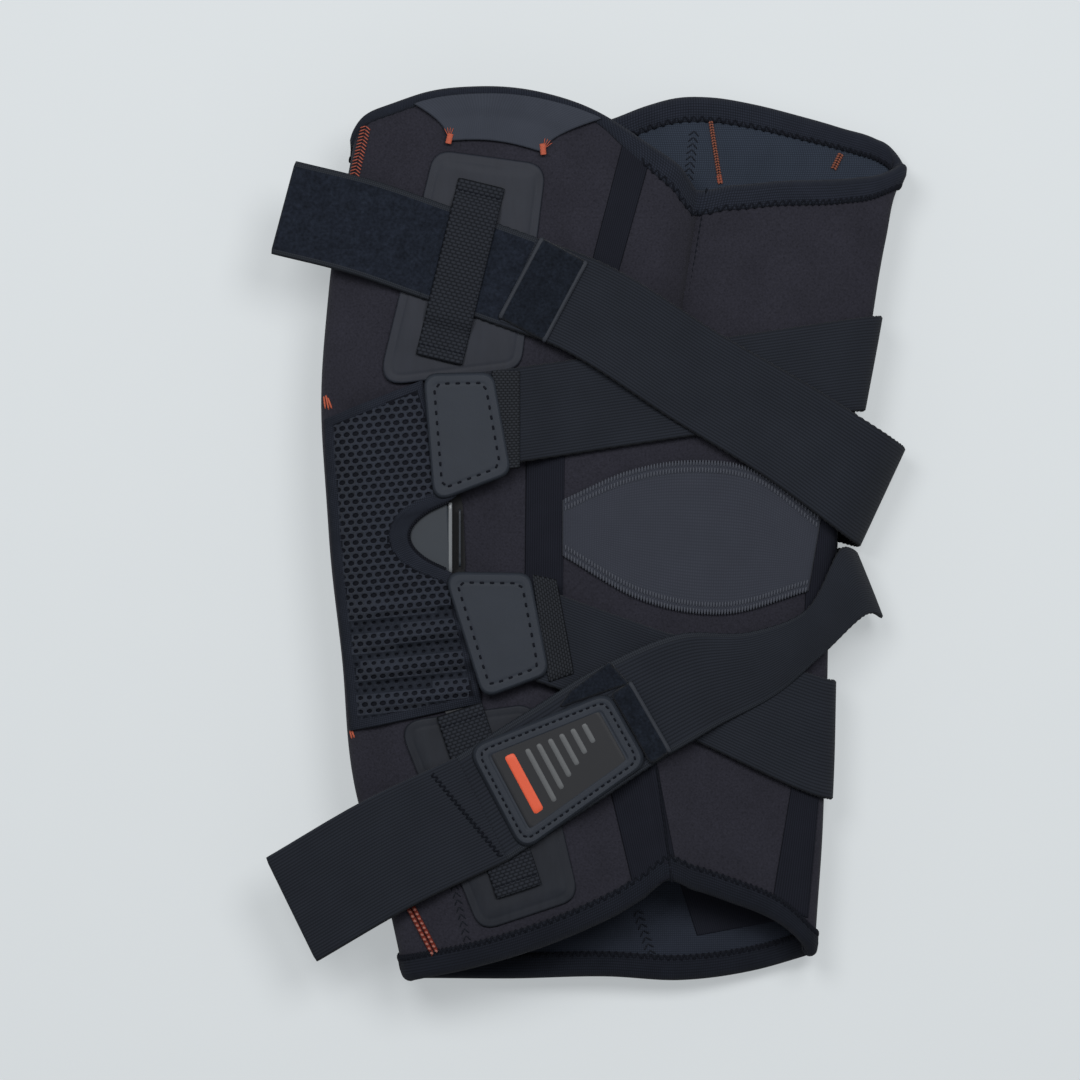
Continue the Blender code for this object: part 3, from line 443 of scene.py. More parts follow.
def finish(name, colour, roughness, pattern, pitch, depth, groove, crest, mottle=0.0, mottle_size=9.0,
           sheen=0.0, metallic=0.0, stretch=None, gloss=0.1, dots=0.0):
    """A procedural finish: colour runs from groove to crest times the base, with a soft mottle over it."""
    made = bpy.data.materials.new(name)
    made.use_nodes = True
    tree = made.node_tree
    tree.nodes.clear()
    height = weave(tree, pattern, pitch) if pattern else noise(tree, 1000.0 / pitch, 3.0, stretch)
    soft = noise(tree, 1000.0 / mottle_size)
    level = calc(tree, "ADD", calc(tree, "MULTIPLY", height, crest - groove), groove)
    shade = calc(tree, "ADD", calc(tree, "MULTIPLY", calc(tree, "SUBTRACT", soft, 0.5), 2.0 * mottle), 1.0)
    level = calc(tree, "MULTIPLY", level, shade)
    if dots:
        dot_shade = calc(tree, "MULTIPLY", speckle(tree, dots), 0.16)
        level = calc(tree, "MULTIPLY", level, calc(tree, "SUBTRACT", 1.0, dot_shade))
    tint = node(tree, "ShaderNodeVectorMath", {0: colour, 3: level}, operation="SCALE").outputs[0]
    shader = node(tree, "ShaderNodeBsdfPrincipled",
                  {"Base Color": tint, "Roughness": roughness, "Metallic": metallic,
                   "Specular IOR Level": gloss, "Sheen Weight": sheen, "Sheen Roughness": 0.6})
    if depth:
        bump = node(tree, "ShaderNodeBump", {"Strength": 1.0, "Distance": depth * MM, "Height": height})
        tree.links.new(bump.outputs[0], shader.inputs["Normal"])
    node(tree, "ShaderNodeOutputMaterial", {"Surface": shader.outputs[0]})
    return made


# Name, colour, roughness, pattern, pitch, depth, groove, crest, mottle, its size and sheen
NEOPRENE = finish("neoprene", (0.0210, 0.0207, 0.0290), 0.9, None, 0.8, 0.18, 0.5, 1.5, 0.2, 16.0, 0.04,
                  dots=4.4)
LINING = finish("lining", (0.0262, 0.0340, 0.0500), 0.9, "knit", 0.9, 0.10, 0.7, 1.4, 0.14, 12.0, 0.04)
DARK_LINING = finish("calf_lining", (0.0188, 0.0232, 0.0345), 0.9, "knit", 0.9, 0.10, 0.7, 1.4, 0.2, 10.0,
                     0.04)
BINDING = finish("binding", (0.0135, 0.0162, 0.0245), 0.92, "knit", 0.7, 0.10, 0.6, 1.6, 0.2, 7.0, 0.03)
DARK_BINDING = finish("calf_binding", (0.0086, 0.0104, 0.0160), 0.92, "knit", 0.7, 0.10, 0.6, 1.6, 0.2, 7.0,
                      0.03)
TAPE = finish("seam_tape", (0.0095, 0.0105, 0.016), 0.88, "rib", 0.9, 0.08, 0.7, 1.3, 0.12, 8.0)
PANEL = finish("stretch_knit", (0.034, 0.0375, 0.050), 0.9, "knit", 1.0, 0.08, 0.88, 1.2, 0.09, 12.0, 0.04)
MESH = finish("air_mesh", (0.0236, 0.0279, 0.0395), 0.8, None, 0.5, 0.14, 0.5, 1.5, 0.2, 6.0, 0.04)
# darker copy of the air mesh for the cells down in the channels: painted shade in the valleys
MESH_PAINTED_SHADE = finish("air_mesh_valley_painted_shade", (0.0160, 0.0190, 0.0270), 0.85, None, 0.5, 0.14, 0.5, 1.5, 0.2, 6.0)
MESH_EDGE = finish("mesh_border", (0.0152, 0.0180, 0.0262), 0.88, "knit", 0.8, 0.12, 0.6, 1.5, 0.2, 6.0)
# dark colour of the mesh backing, also used for the painted shadow line along the notch
MESH_BACKING_AND_PAINTED_SHADOW = finish("mesh_backing", (0.007, 0.008, 0.012), 0.9, None, 0.6, 0.1, 0.6, 1.4, 0.2, 6.0)
RUBBER = finish("moulded_rubber", (0.0248, 0.0300, 0.0402), 0.62, None, 0.28, 0.04, 0.85, 1.15, 0.1, 11.0,
                gloss=0.2)
FILM = finish("pocket_film", (0.0178, 0.0206, 0.0296), 0.58, None, 2.0, 0.03, 0.85, 1.15, 0.16, 16.0,
              stretch=(1.0, 0.2, 1.0), gloss=0.2)
WORN_FILM = finish("worn_pocket_film", (0.0142, 0.0165, 0.0226), 0.62, None, 2.0, 0.03, 0.8, 1.2, 0.22, 14.0,
                   stretch=(1.0, 0.2, 1.0), gloss=0.18)
FLAP = finish("flap_knit", (0.0375, 0.0425, 0.056), 0.88, "rib", 0.9, 0.03, 0.9, 1.12, 0.1, 10.0)
ELASTIC = finish("elastic_webbing", (0.0138, 0.0162, 0.0222), 0.88, "rib", 1.2, 0.12, 0.65, 1.35, 0.16, 15.0,
                 0.03)
COARSE = finish("coarse_webbing", (0.0185, 0.0206, 0.0250), 0.82, "brick", 1.7, 0.3, 0.3, 1.4, 0.08, 8.0)
KEEPER = finish("keeper_webbing", (0.0166, 0.0188, 0.0244), 0.82, "brick", 2.2, 0.35, 0.42, 1.42, 0.10, 8.0)
PLUSH = finish("loop_pile", (0.0100, 0.0130, 0.0205), 0.98, None, 1.3, 0.4, 0.2, 1.8, 0.5, 4.5, 0.06,
               gloss=0.05)
HOOK = finish("hook_pile", (0.0080, 0.0106, 0.0165), 0.98, None, 1.1, 0.4, 0.2, 1.8, 0.5, 4.0, 0.06,
              gloss=0.05)
WELT = finish("pressed_welt", (0.030, 0.034, 0.043), 0.7, None, 0.6, 0.05, 0.8, 1.2, gloss=0.2)
# lighter strap edges: the plush strap's selvedge, and on the lower cross strap's rolled edges a painted
# highlight
SELVEDGE_AND_HIGHLIGHT = finish("selvedge_and_painted_highlight", (0.022, 0.0255, 0.0325), 0.8, "knit", 0.8, 0.1, 0.6, 1.3)
BLACK_THREAD = finish("black_thread", (0.006, 0.007, 0.011), 0.8, None, 0.4, 0.02, 0.8, 1.2)
GREY_THREAD = finish("grey_thread", (0.070, 0.076, 0.094), 0.8, None, 0.4, 0.02, 0.7, 1.2)
# the fourth tone is paler: painted highlight on the loops of the chain stitch
ORANGE_THREAD, DULL_ORANGE, FADED_ORANGE, ORANGE_PAINTED_HIGHLIGHT, DEEP_ORANGE = (
    finish(tone + "orange_thread", colour, 0.75, None, 0.5, 0.02, 0.7, 1.15)
    for tone, colour in (("", (0.46, 0.112, 0.066)), ("dull_", (0.37, 0.098, 0.064)),
                         ("faded_", (0.25, 0.090, 0.058)), ("pale_", (0.36, 0.142, 0.112)),
                         ("deep_", (0.17, 0.029, 0.019))))
WINDOW = finish("badge_window", (0.012, 0.013, 0.016), 0.5, None, 0.4, 0.02, 0.85, 1.15, gloss=0.3)
PRINT_GREY = finish("badge_grey", (0.10, 0.105, 0.11), 0.5, None, 0.4, 0.01, 0.9, 1.1, gloss=0.3)
PRINT_ORANGE = finish("badge_orange", (0.72, 0.105, 0.045), 0.5, None, 0.6, 0.01, 0.9, 1.05, gloss=0.3)
HOUSING = finish("hinge_plastic", (0.0236, 0.0298, 0.0385), 0.4, None, 0.3, 0.02, 0.94, 1.06, 0.05, 6.0,
                 gloss=0.29)
DARK_HOUSING = finish("hinge_frame_plastic", (0.006, 0.0065, 0.008), 0.5, None, 0.3, 0.02, 0.9, 1.1,
                      gloss=0.15)
# light line along the hinge cover's edge: painted highlight
HINGE_PAINTED_HIGHLIGHT = finish("hinge_painted_highlight", (0.15, 0.16, 0.17), 0.3, None, 0.3, 0.01, 0.95, 1.05, gloss=0.5)
STEEL = finish("blackened_steel", (0.05, 0.052, 0.056), 0.38, None, 0.5, 0.02, 0.8, 1.2, 0.08, 6.0,
               metallic=0.8, stretch=(1.0, 0.1, 1.0), gloss=0.5)
RIVET = finish("rivet_steel", (0.30, 0.30, 0.31), 0.32, None, 0.5, 0.01, 0.9, 1.1, metallic=1.0, gloss=0.5)


# Meshes

RIM_SHARE = 0.4
PAD_BULGE = 0.35
DENSE_TO, LAST_RING = 0.55, 0.02
THREAD_SIDES = 6


def world(points):
    return (np.asarray(points, float) + KNEE) * MM


def mesh_object(name, points, faces, finishes, flat=None, which=None):
    mesh = bpy.data.meshes.new(name)
    mesh.from_pydata(world(points).tolist(), [], [list(map(int, f)) for f in faces])
    for each in finishes:
        mesh.materials.append(each)
    if which is not None:
        mesh.polygons.foreach_set("material_index", np.array(which, np.int32))
    flat = np.asarray(points)[:, :2] if flat is None else np.asarray(flat)
    layer = mesh.uv_layers.new(name="cloth")
    vertex = np.zeros(len(mesh.loops), np.int32)
    mesh.loops.foreach_get("vertex_index", vertex)
    layer.data.foreach_set("uv", flat[vertex].astype(np.float32).ravel())
    work = bmesh.new()
    work.from_mesh(mesh)
    bmesh.ops.recalc_face_normals(work, faces=work.faces)
    work.to_mesh(mesh)
    work.free()
    mesh.shade_smooth()
    made = bpy.data.objects.new(name, mesh)
    bpy.context.scene.collection.objects.link(made)
    return made


def quads(rows, columns, wrap=False):
    i, j = np.meshgrid(np.arange(rows - 1), np.arange(columns if wrap else columns - 1), indexing="ij")
    k = (j + 1) % columns
    faces = [i * columns + j, i * columns + k, (i + 1) * columns + k, (i + 1) * columns + j]
    return np.stack(faces, axis=-1).reshape(-1, 4)


def band(first, second):
    """Faces between two closed loops of points."""
    return np.stack([first, np.roll(first, -1), np.roll(second, -1), second], axis=-1)


def grid_flat(grid):
    """Flat coordinates of a grid in millimetres: across the columns and along the rows."""
    across = np.linalg.norm(np.diff(grid, axis=1), axis=-1).mean(axis=0)
    along = np.linalg.norm(np.diff(grid, axis=0), axis=-1).mean(axis=1)
    u, v = (np.concatenate([[0], np.cumsum(steps)]) for steps in (across, along))
    return np.stack(np.meshgrid(u, v), axis=-1).reshape(-1, 2)


def shell(name, grid, thickness, finishes, which=None, teeth=0.0):
    """A closed sheet of even thickness about a grid of points, with a rounded rim that may be toothed."""
    rows, columns = grid.shape[:2]
    count = rows * columns
    points = grid.reshape(-1, 3)
    flat = grid_flat(grid)
    index = np.arange(count).reshape(rows, columns)
    border = np.concatenate([index[0], index[1:, -1], index[-1, -2::-1], index[-2:0:-1, 0]])
    row, column = border // columns, border % columns
    inner = index[np.clip(row, 1, rows - 2), np.clip(column, 1, columns - 2)]
    tooth = 1 + teeth * np.where(np.arange(len(border)) % 2, 1, -1)[:, None]
    rim = points[border] + unit(points[border] - points[inner]) * thickness * RIM_SHARE * tooth
    normals = unit(np.cross(np.gradient(grid, axis=1), np.gradient(grid, axis=0)))
    offset = normals.reshape(-1, 3) * thickness / 2
    top = quads(rows, columns)
    ring = 2 * count + np.arange(len(border))
    faces = np.concatenate([top, top[:, ::-1] + count, band(border, ring), band(ring, count + border)])
    if which is not None:
        edge = which[np.minimum(row, rows - 2), np.minimum(column, columns - 2)]
        which = np.concatenate([which.ravel(), which.ravel(), edge, edge])
    return mesh_object(name, np.concatenate([points + offset, points - offset, rim]), faces, finishes,
                       np.concatenate([flat, flat, flat[border]]), which)


def pad(name, outline, top_of, thickness, look, rings, side=1):
    """A closed piece over a convex outline, drawn in rings, its top at top_of(x, y, distance from edge)."""
    centre = outline.mean(axis=0)
    spokes = outline - centre
    shares = np.concatenate([np.linspace(1, DENSE_TO, rings * 2 // 3, endpoint=False),
                             np.linspace(DENSE_TO, LAST_RING, rings // 3)])
    flat = (centre + spokes * shares[:, None, None]).reshape(-1, 2)
    count, total = len(outline), len(flat)
    away = edge_distance(flat, outline)
    away[:count] = 0.0
    high = top_of(flat[:, 0], flat[:, 1], away)
    rim = centre + spokes * (1 + PAD_BULGE * thickness / np.linalg.norm(spokes, axis=1).mean())
    points = np.concatenate([raised(flat, high), raised(rim, high[:count] - thickness / 2),
                             raised(flat, high - thickness)])
    ring = np.arange(count)
    walls = quads(len(shares), count, wrap=True)
    faces = [*walls, *(walls[:, ::-1] + total + count), *band(ring, total + ring),
             *band(total + ring, total + count + ring), total - count + ring, (2 * total + ring)[::-1]]
    return mesh_object(name, on_side(points, side), faces, [look])


def threads(name, starts, ends, radius, look, lift=0.7, ups=UP):
    """Short stitches, each an arched thread whose ends dive into the cloth."""
    heading = unit(ends - starts)
    across = unit(np.cross(ups, heading))
    up = unit(np.cross(heading, across))
    stations = [(0.0, -0.7, 0.55), (0.14, 0.3, 0.95), (0.5, lift, 1.0), (0.86, 0.3, 0.95), (1.0, -0.7, 0.55)]
    ring = np.arange(THREAD_SIDES)
    rings = []
    for k, high, wide in stations:
        middle = mix(starts, ends, k) + up * high * radius
        for a in 2 * math.pi * ring / THREAD_SIDES:
            rings.append(middle + (across * math.cos(a) + up * math.sin(a)) * radius * wide)
    base = len(rings) * np.arange(len(starts))[:, None, None]
    walls = quads(len(stations), THREAD_SIDES, wrap=True) + base
    caps = np.stack([ring, len(rings) - 1 - ring]) + base
    return mesh_object(name, np.stack(rings, axis=1).reshape(-1, 3),
                       [*walls.reshape(-1, 4), *caps.reshape(-1, THREAD_SIDES)], [look])


# Cut at the knee line, in place of the part's nodes

CUT_MARGIN = 0.004


def halves(made):
    """The piece cut at the knee line where it crosses it, as one or two pieces."""
    line = KNEE[1] * MM
    y = np.array([v.co.y for v in made.data.vertices])
    if y.min() > line - CUT_MARGIN or y.max() < line + CUT_MARGIN:
        return [made]
    cut = []
    for label, sign in (("upper", 1), ("lower", -1)):
        half = made.copy()
        half.data = made.data.copy()
        half.name = half.data.name = made.name + "_" + label
        bpy.context.scene.collection.objects.link(half)
        work = bmesh.new()
        work.from_mesh(half.data)
        closed = not any(e.is_boundary for e in work.edges)
        bmesh.ops.bisect_plane(work, geom=work.verts[:] + work.edges[:] + work.faces[:], dist=1e-7,
                               plane_co=(0, line, 0), plane_no=(0, sign, 0), clear_inner=True)
        if closed:
            rim = [e for e in work.edges if e.is_boundary]
            bmesh.ops.holes_fill(work, edges=rim, sides=0)
            for edge in rim:
                edge.smooth = False
        work.to_mesh(half.data)
        work.free()
        cut.append(half)
    bpy.data.objects.remove(made)
    return cut


def sew(made, slot, *nodes, on=None, **cut):
    """The piece, cut at the knee line, has its place baked in and hides the named nodes it stands for. The on
    list is not used.
    """
    upper, knee, lower = (tuple(world((0.0, y, 0.0))) for y in (BEND_REACH, 0.0, -BEND_REACH))
    pieces = halves(made)
    for piece in pieces:
        if np.mean([v.co.y for v in piece.data.vertices]) > knee[1]:
            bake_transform(piece)
        else:
            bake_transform(piece)
    for name in nodes:
        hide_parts(name)


# Sleeve

def sleeve_form(x, y, near):
    """Folds of the near side, the swell over the hinge arms and a slow drift."""
    at = np.stack([x, y], axis=-1)
    form = DRIFT * np.sin(x / 13.0 + y / 29.0) * np.sin(y / 17.0 - x / 41.0)
    for start, end, height, reach, power in FOLDS:
        form = form + np.where(near, height * fade(to_segment(at, start, end), reach) ** power, 0.0)
    for corners in (UPPER_PATCH, LOWER_PATCH):
        outline = np.array(corners, float)
        outside = np.where(inside(at, outline), 0.0, edge_distance(at, outline))
        form = form + ARM_RISE * (1 - smoothstep(0.0, ARM_REACH, outside))
    return form


def skin(turn, y, lay):
    """Points on the folded sleeve, at a height above its outside."""
    middle = sleeve_point(turn, y)
    form = sleeve_form(middle[..., 0], middle[..., 1], turn < 0.5)
    return middle + sleeve_normal(turn, y) * (lay + form)[..., None]


def on_sleeve(flat, lay, side=1):
    """(x, y) points put on the folded near (+1) or far (-1) side, at a height outward from it."""
    x, y = flat[..., 0], flat[..., 1]
    return raised(flat, surface_height(side, x, y) + side * (lay + sleeve_form(x, y, side > 0)))


def end_line(near, far, shift=0.0):
    def at(turn):
        share = share_of(turn)
        return np.where(turn < 0.5, near(share), far(share)) + shift

    return at


top_edge = end_line(near_top, far_top)
bottom_edge = end_line(near_bottom, far_bottom)


def knee_line(turn):
    return 0.0 * turn


def tube(name, first, last, finishes):
    """A length of the sleeve between two end lines, as a closed loft: outside, then back inside."""
    k = np.linspace(0, 1, SLEEVE_ROWS)[:, None]
    around = np.arange(SLEEVE_AROUND)
    turn = around / SLEEVE_AROUND + 0 * k
    y = mix(first(turn), last(turn), k)
    outer, inner = (skin(turn, y, lay).reshape(-1, 3) for lay in (0.0, -SLEEVE_THICKNESS))
    middle = outer.reshape(*turn.shape, 3)[SLEEVE_ROWS // 2]
    run = np.concatenate([[0.0], np.cumsum(np.linalg.norm(np.diff(middle, axis=0), axis=1))])
    flat = np.stack([run + 0 * k, y], axis=-1).reshape(-1, 2)
    out = quads(SLEEVE_ROWS, SLEEVE_AROUND, wrap=True)
    count = turn.size
    ends = [band(ring, count + ring) for ring in (around, count - SLEEVE_AROUND + around)]
    faces = np.concatenate([out, out[:, ::-1] + count, *ends])
    which = np.zeros(len(faces), int)
    which[len(out):2 * len(out)] = 1
    points = np.concatenate([outer, inner])
    made = mesh_object(name, points, faces, finishes, np.concatenate([flat, flat]), which)
    made.data.set_sharp_from_angle(angle=math.radians(55))
    return made


def binding(name, edge, sign, look):
    """A folded edge tape: a rounded profile carried round the mouth, puckered where it is sewn."""
    around = np.arange(BINDING_AROUND)
    turn = around / BINDING_AROUND
    half = SLEEVE_THICKNESS / 2 + 0.9
    outline = [*BINDING_PROFILE, *zip(half * (1 - np.cos(BINDING_BEND)), np.sin(BINDING_BEND))]
    outline += [(away, -high) for away, high in reversed(outline[:-1])]
    front = (turn < 0.5) * (sign > 0) * (1 - smoothstep(*LOBE_END, share_of(turn)))
    rows = []
    for n, (away, high) in enumerate(outline):
        lobe = front * (n < len(outline) / 2)
        pucker = PUCKER * np.sin(turn * 2 * np.pi * PUCKERS) * (away > PUCKER_FROM)
        y = edge(turn) - sign * away * (1 - LOBE_SLIMMING * lobe)
        rows.append(skin(turn, y, high * (half + pucker) - SLEEVE_THICKNESS / 2))
    count = len(outline)
    flat = np.stack([np.repeat(np.arange(count) * BINDING_STEP, BINDING_AROUND),
                     np.tile(turn * BINDING_GIRTH, count)], axis=-1)
    close = band(around, (count - 1) * BINDING_AROUND + around)
    faces = np.concatenate([quads(count, BINDING_AROUND, wrap=True), close])
    return mesh_object(name, np.concatenate(rows), faces, [look], flat)


def binding_stitches(name, edge, sign, inner):
    """Zigzag rows over the tape's sewn edge, outside or on the lining."""
    n = np.arange(2 * ZIGZAGS)
    turn = (n + 0.5) / len(n)
    y = edge(turn) - sign * np.where(n % 2, *ZIGZAG_ROWS)
    points = skin(turn, y, -SLEEVE_THICKNESS - ZIGZAG_LAY if inner else ZIGZAG_LAY)
    ups = sleeve_normal(turn, y) * (-1 if inner else 1)
    shown = turn[:-1] > (0.5 if sign > 0 and not inner else 0.0)
    shown |= sleeve_point(turn, y)[:-1, 0] > LOBE_BACK_X
    return threads(name, points[:-1][shown], points[1:][shown], 0.36, BLACK_THREAD, ups=ups[:-1][shown])


def make_sleeve():
    thigh = tube("thigh_fabric", knee_line, end_line(near_top, far_top, -MOUTH_HEM), [NEOPRENE, LINING])
    calf = tube("calf_fabric", end_line(near_bottom, far_bottom, MOUTH_HEM), knee_line,
                [NEOPRENE, DARK_LINING])
    sew(thigh, "neoprene", "thigh_sleeve", on=["thigh_sleeve"], across=THIGH_GIRTH)
    sew(calf, "neoprene", "calf_sleeve", on=["calf_sleeve"], across=CALF_GIRTH)
    sew(binding("thigh_edge_tape", top_edge, 1, BINDING), "edge_binding", "thigh_binding")
    sew(binding("calf_edge_tape", bottom_edge, -1, DARK_BINDING), "edge_binding", "calf_binding")
    for label, inner in (("outside", False), ("inside", True)):
        for half, edge, sign in (("thigh", top_edge, 1), ("calf", bottom_edge, -1)):
            sew(binding_stitches(f"{half}_edge_stitches_{label}", edge, sign, inner), "edge_binding")


def quad_grid(corners, rows, columns):
    a, b, c, d = (np.array(p, float) for p in corners)
    j = np.linspace(0, 1, rows)[:, None, None]
    i = np.linspace(0, 1, columns)[None, :, None]
    return mix(mix(a, b, i), mix(d, c, i), j)


def make_tapes():
    """Dark tapes over the sleeve's seams, and one on the lining, seen in the lower mouth."""
    lay = 0.35
    for n, corners in enumerate(TAPES):
        grid = on_sleeve(quad_grid(corners, 40, 14), lay)
        sew(shell(f"seam_tape_{n + 1}", grid, 0.6, [TAPE]), "edge_binding", on=BOTH_SLEEVES)
    grid = on_sleeve(quad_grid(INNER_TAPE, 30, 24), -SLEEVE_THICKNESS - lay, -1)
    sew(shell("calf_inner_tape", grid, 0.5, [TAPE]), "edge_binding", on=["calf_sleeve"])


def panel_point(i, j):
    """A point of the knee panel, i along it and j from its lower to its upper edge."""
    low_x = mix(PANEL_LOWER[0][0], PANEL_LOWER[-1][0], i)
    high_x = mix(PANEL_UPPER[0][0], PANEL_UPPER[-1][0], i)
    return np.stack([mix(low_x, high_x, j), mix(panel_lower(low_x), panel_upper(high_x), j)], axis=-1)


def make_panel():
    """A knit panel behind the knee, with two rows of stitches along its upper and lower edges."""
    row_gap, length, lay = 2.9, 2.4, 1.55
    i, j = np.meshgrid(np.linspace(0, 1, 80), np.linspace(0, 1, 50))
    made = shell("knee_back_panel", on_sleeve(panel_point(i, j), 1.0), 1.0, [PANEL])
    sew(made, "stretch_knit", "popliteal_panel", on=BOTH_SLEEVES, held="stretched")
    k = np.linspace(0.01, 0.99, 84)
    for label, inner_share, outer_share in (("upper", 0.9, 1.02), ("lower", 0.1, -0.02)):
        edge = panel_point(k, outer_share)
        away = unit(panel_point(k, inner_share) - edge)
        starts = np.concatenate([edge, edge + away * row_gap])
        stops = starts + np.concatenate([away, away]) * length
        made = threads(f"panel_{label}_flatlock", on_sleeve(starts, lay), on_sleeve(stops, lay), 0.4,
                       GREY_THREAD)
        sew(made, "stretch_knit")


def make_flap():
    """A smooth pull flap from the front lobe's rim down to a lip between two coloured bartacks."""
    front, width, hem, sag = 30.0, 222.0, 3.6, 2.2
    i = np.linspace(0, 1, 70)[None, :]
    j = np.linspace(0, 1, 30)[:, None]
    rim_x = mix(*FLAP_RIM, i)
    rim_y = near_top((rim_x + front) / width) - hem
    lip_y = mix(*FLAP_LIP_Y, i) + sag * np.sin(np.pi * i)
    flat = np.stack([mix(mix(*FLAP_LIP_X, i), rim_x, j ** 1.9), mix(lip_y, rim_y, j)], axis=-1)
    grid = on_sleeve(flat, 1.0)
    grid[..., 2] += smoothstep(0.45, 0.75, j) + 0.8 * (1 - j) ** 3
    sew(shell("opening_flap", grid, 1.2, [FLAP]), "pocket_laminate", "pocket_flap", on=["thigh_sleeve"])


# Pieces on each side

def sew_row(name, firsts, seconds, high, radius, slot, side=1, lift=0.7):
    """Black stitches between (x, y) points at one height."""
    starts, ends = (on_side(raised(flat, high), side) for flat in (firsts, seconds))
    sew(threads(name, starts, ends, radius, BLACK_THREAD, lift, side * UP), slot)


def patch(where, corners, side, look):
    """A pressed pocket patch, lower along three of its edges."""
    def top_of(x, y, away):
        at = np.stack([x, y], axis=-1)
        low_edges = [to_segment(at, corners[i], corners[(i + 1) % 4]) for i in (1, 2, 3)]
        rise = smoothstep(0.0, 7.0, np.minimum.reduce(low_edges))
        ripple = 0.14 * np.sin(x / 5.0 + y / 9.0) * rise
        pressed = 0.12 * bell(away, 2.8, 0.6)
        return NEAR_Z + mix(PATCH_EDGE, PATCH_BASE, rise) + FILM_THICKNESS + ripple - pressed

    made = pad(where + "_patch", rounded(corners, 8.0), top_of, FILM_THICKNESS, look, 54, side)
    sew(made, "pocket_laminate", where + "_pocket", on=BOTH_SLEEVES)


def keeper(where, ends, kept, over, side):
    """A webbing loop over a strap, folded under and stitched at both ends."""
    fold, seam, slack, ramp = 1.5, 4.2, 3.0, 6.0
    start, end = (np.array(p, float) for p in ends)
    length = np.linalg.norm(end - start)
    heading = (end - start) / length
    across = np.array((-heading[1], heading[0]))
    along = np.linspace(0, length, 90)
    from_strap = np.abs(along - (np.array(kept) - start) @ heading)
    reach = STRAP_WIDTH / 2 + slack
    on_strap = 1 - smoothstep(reach, reach + ramp, from_strap)
    folded = 0.45 * (bell(along, fold, 2.2) + bell(along, length - fold, 2.2))
    high = NEAR_Z + mix(OVER_PATCH, over, on_strap) + KEEPER_THICKNESS / 2 + folded
    k = np.linspace(-1, 1, 14)
    flat = (start + heading * along[:, None])[:, None, :] + across * (k * KEEPER_WIDTH / 2)[None, :, None]
    grid = on_side(raised(flat, high[:, None] + 0.25 * (1 - k ** 2)), side)
    sew(shell(where + "_loop", grid, KEEPER_THICKNESS, [KEEPER]), "keeper_webbing", where + "_keeper",
        on=[where + "_pocket"])
    rows = np.array([(at, s) for at in (seam, length - seam) for s in np.linspace(-0.85, 0.85, 8)])
    spots = start + heading * rows[:, :1] + across * rows[:, 1:] * KEEPER_WIDTH / 2
    sew_row(where + "_loop_stitches", spots - across * 0.9, spots + across * 0.9, NEAR_Z + OVER_PATCH + 1.35,
            0.3, "keeper_webbing", side)


def dashes(outline, inset, pitch, length):
    """Stitch starts and ends along an outline moved inward toward its middle."""
    centre = outline.mean(axis=0)
    ahead = np.roll(outline, -1, axis=0) - np.roll(outline, 1, axis=0)
    inward = unit(np.stack([-ahead[:, 1], ahead[:, 0]], axis=-1))
    inward *= np.sign(np.sum(inward * (centre - outline), axis=1))[:, None]
    even = resampled(outline + inward * inset, pitch, True)
    return even, even + unit(np.roll(even, -1, axis=0) - even) * length


def tab(where, corners, side):
    """A moulded rubber tab with a stitched groove along its edge."""
    outline = rounded(corners, 5.5, 0.9)
    high = NEAR_Z + TAB_BASE + TAB_THICKNESS

    def top_of(x, y, away):
        edge = -0.5 * (1 - smoothstep(0.0, 0.7, away)) ** 2
        return high + edge - 0.16 * bell(away, 3.6, 0.7) + 0.1 * smoothstep(5.0, 13.0, away)

    name = where + "_rubber_tab"
    sew(pad(name, outline, top_of, TAB_THICKNESS, RUBBER, 84, side), "moulded_rubber", where + "_tab")
    sew_row(name + "_stitches", *dashes(outline, 3.5, 4.0, 1.9), high - 0.15, 0.46, "moulded_rubber", side,
            0.2)


def mesh_edge():
    """The air mesh's outline, from its lower right corner round."""
    left_y = np.linspace(*MESH_LEFT_SPAN, 80)
    right_y = np.linspace(*MESH_RIGHT_SPAN, 140)
    left = np.stack([left_side(left_y) + MESH_INSET, left_y], axis=-1)
    right = np.stack([mesh_right(right_y), right_y], axis=-1)
    return np.concatenate([right, left[::-1]])


def near_notch(flat):
    """1 beside the notch round the hinge, whose edge band is wider."""
    return bell(flat[..., 1], NOTCH_MIDDLE, NOTCH_REACH) * smoothstep(-30.0, -12.0, flat[..., 0])


def channel_turn(x, y):
    """Angle of the puffed channels across the mesh, whole turns at their crests."""
    return (y - CHANNEL_LEAN * x) * 2 * np.pi / CHANNEL_PITCH


def mesh_height(x, y):
    low = surface_height(1, x, y) - NEAR_Z + 0.5
    high = mix(MESH_BASE, OVER_PATCH, smoothstep(30.0, 62.0, np.abs(y)))
    rise = smoothstep(0.0, 16.0, x - left_side(y) - MESH_INSET)
    puff = PUFF * smoothstep(-18.0, -30.0, y) * (np.cos(channel_turn(x, y)) - 0.55) * rise
    return NEAR_Z + mix(low, high, rise) + puff + 0.6


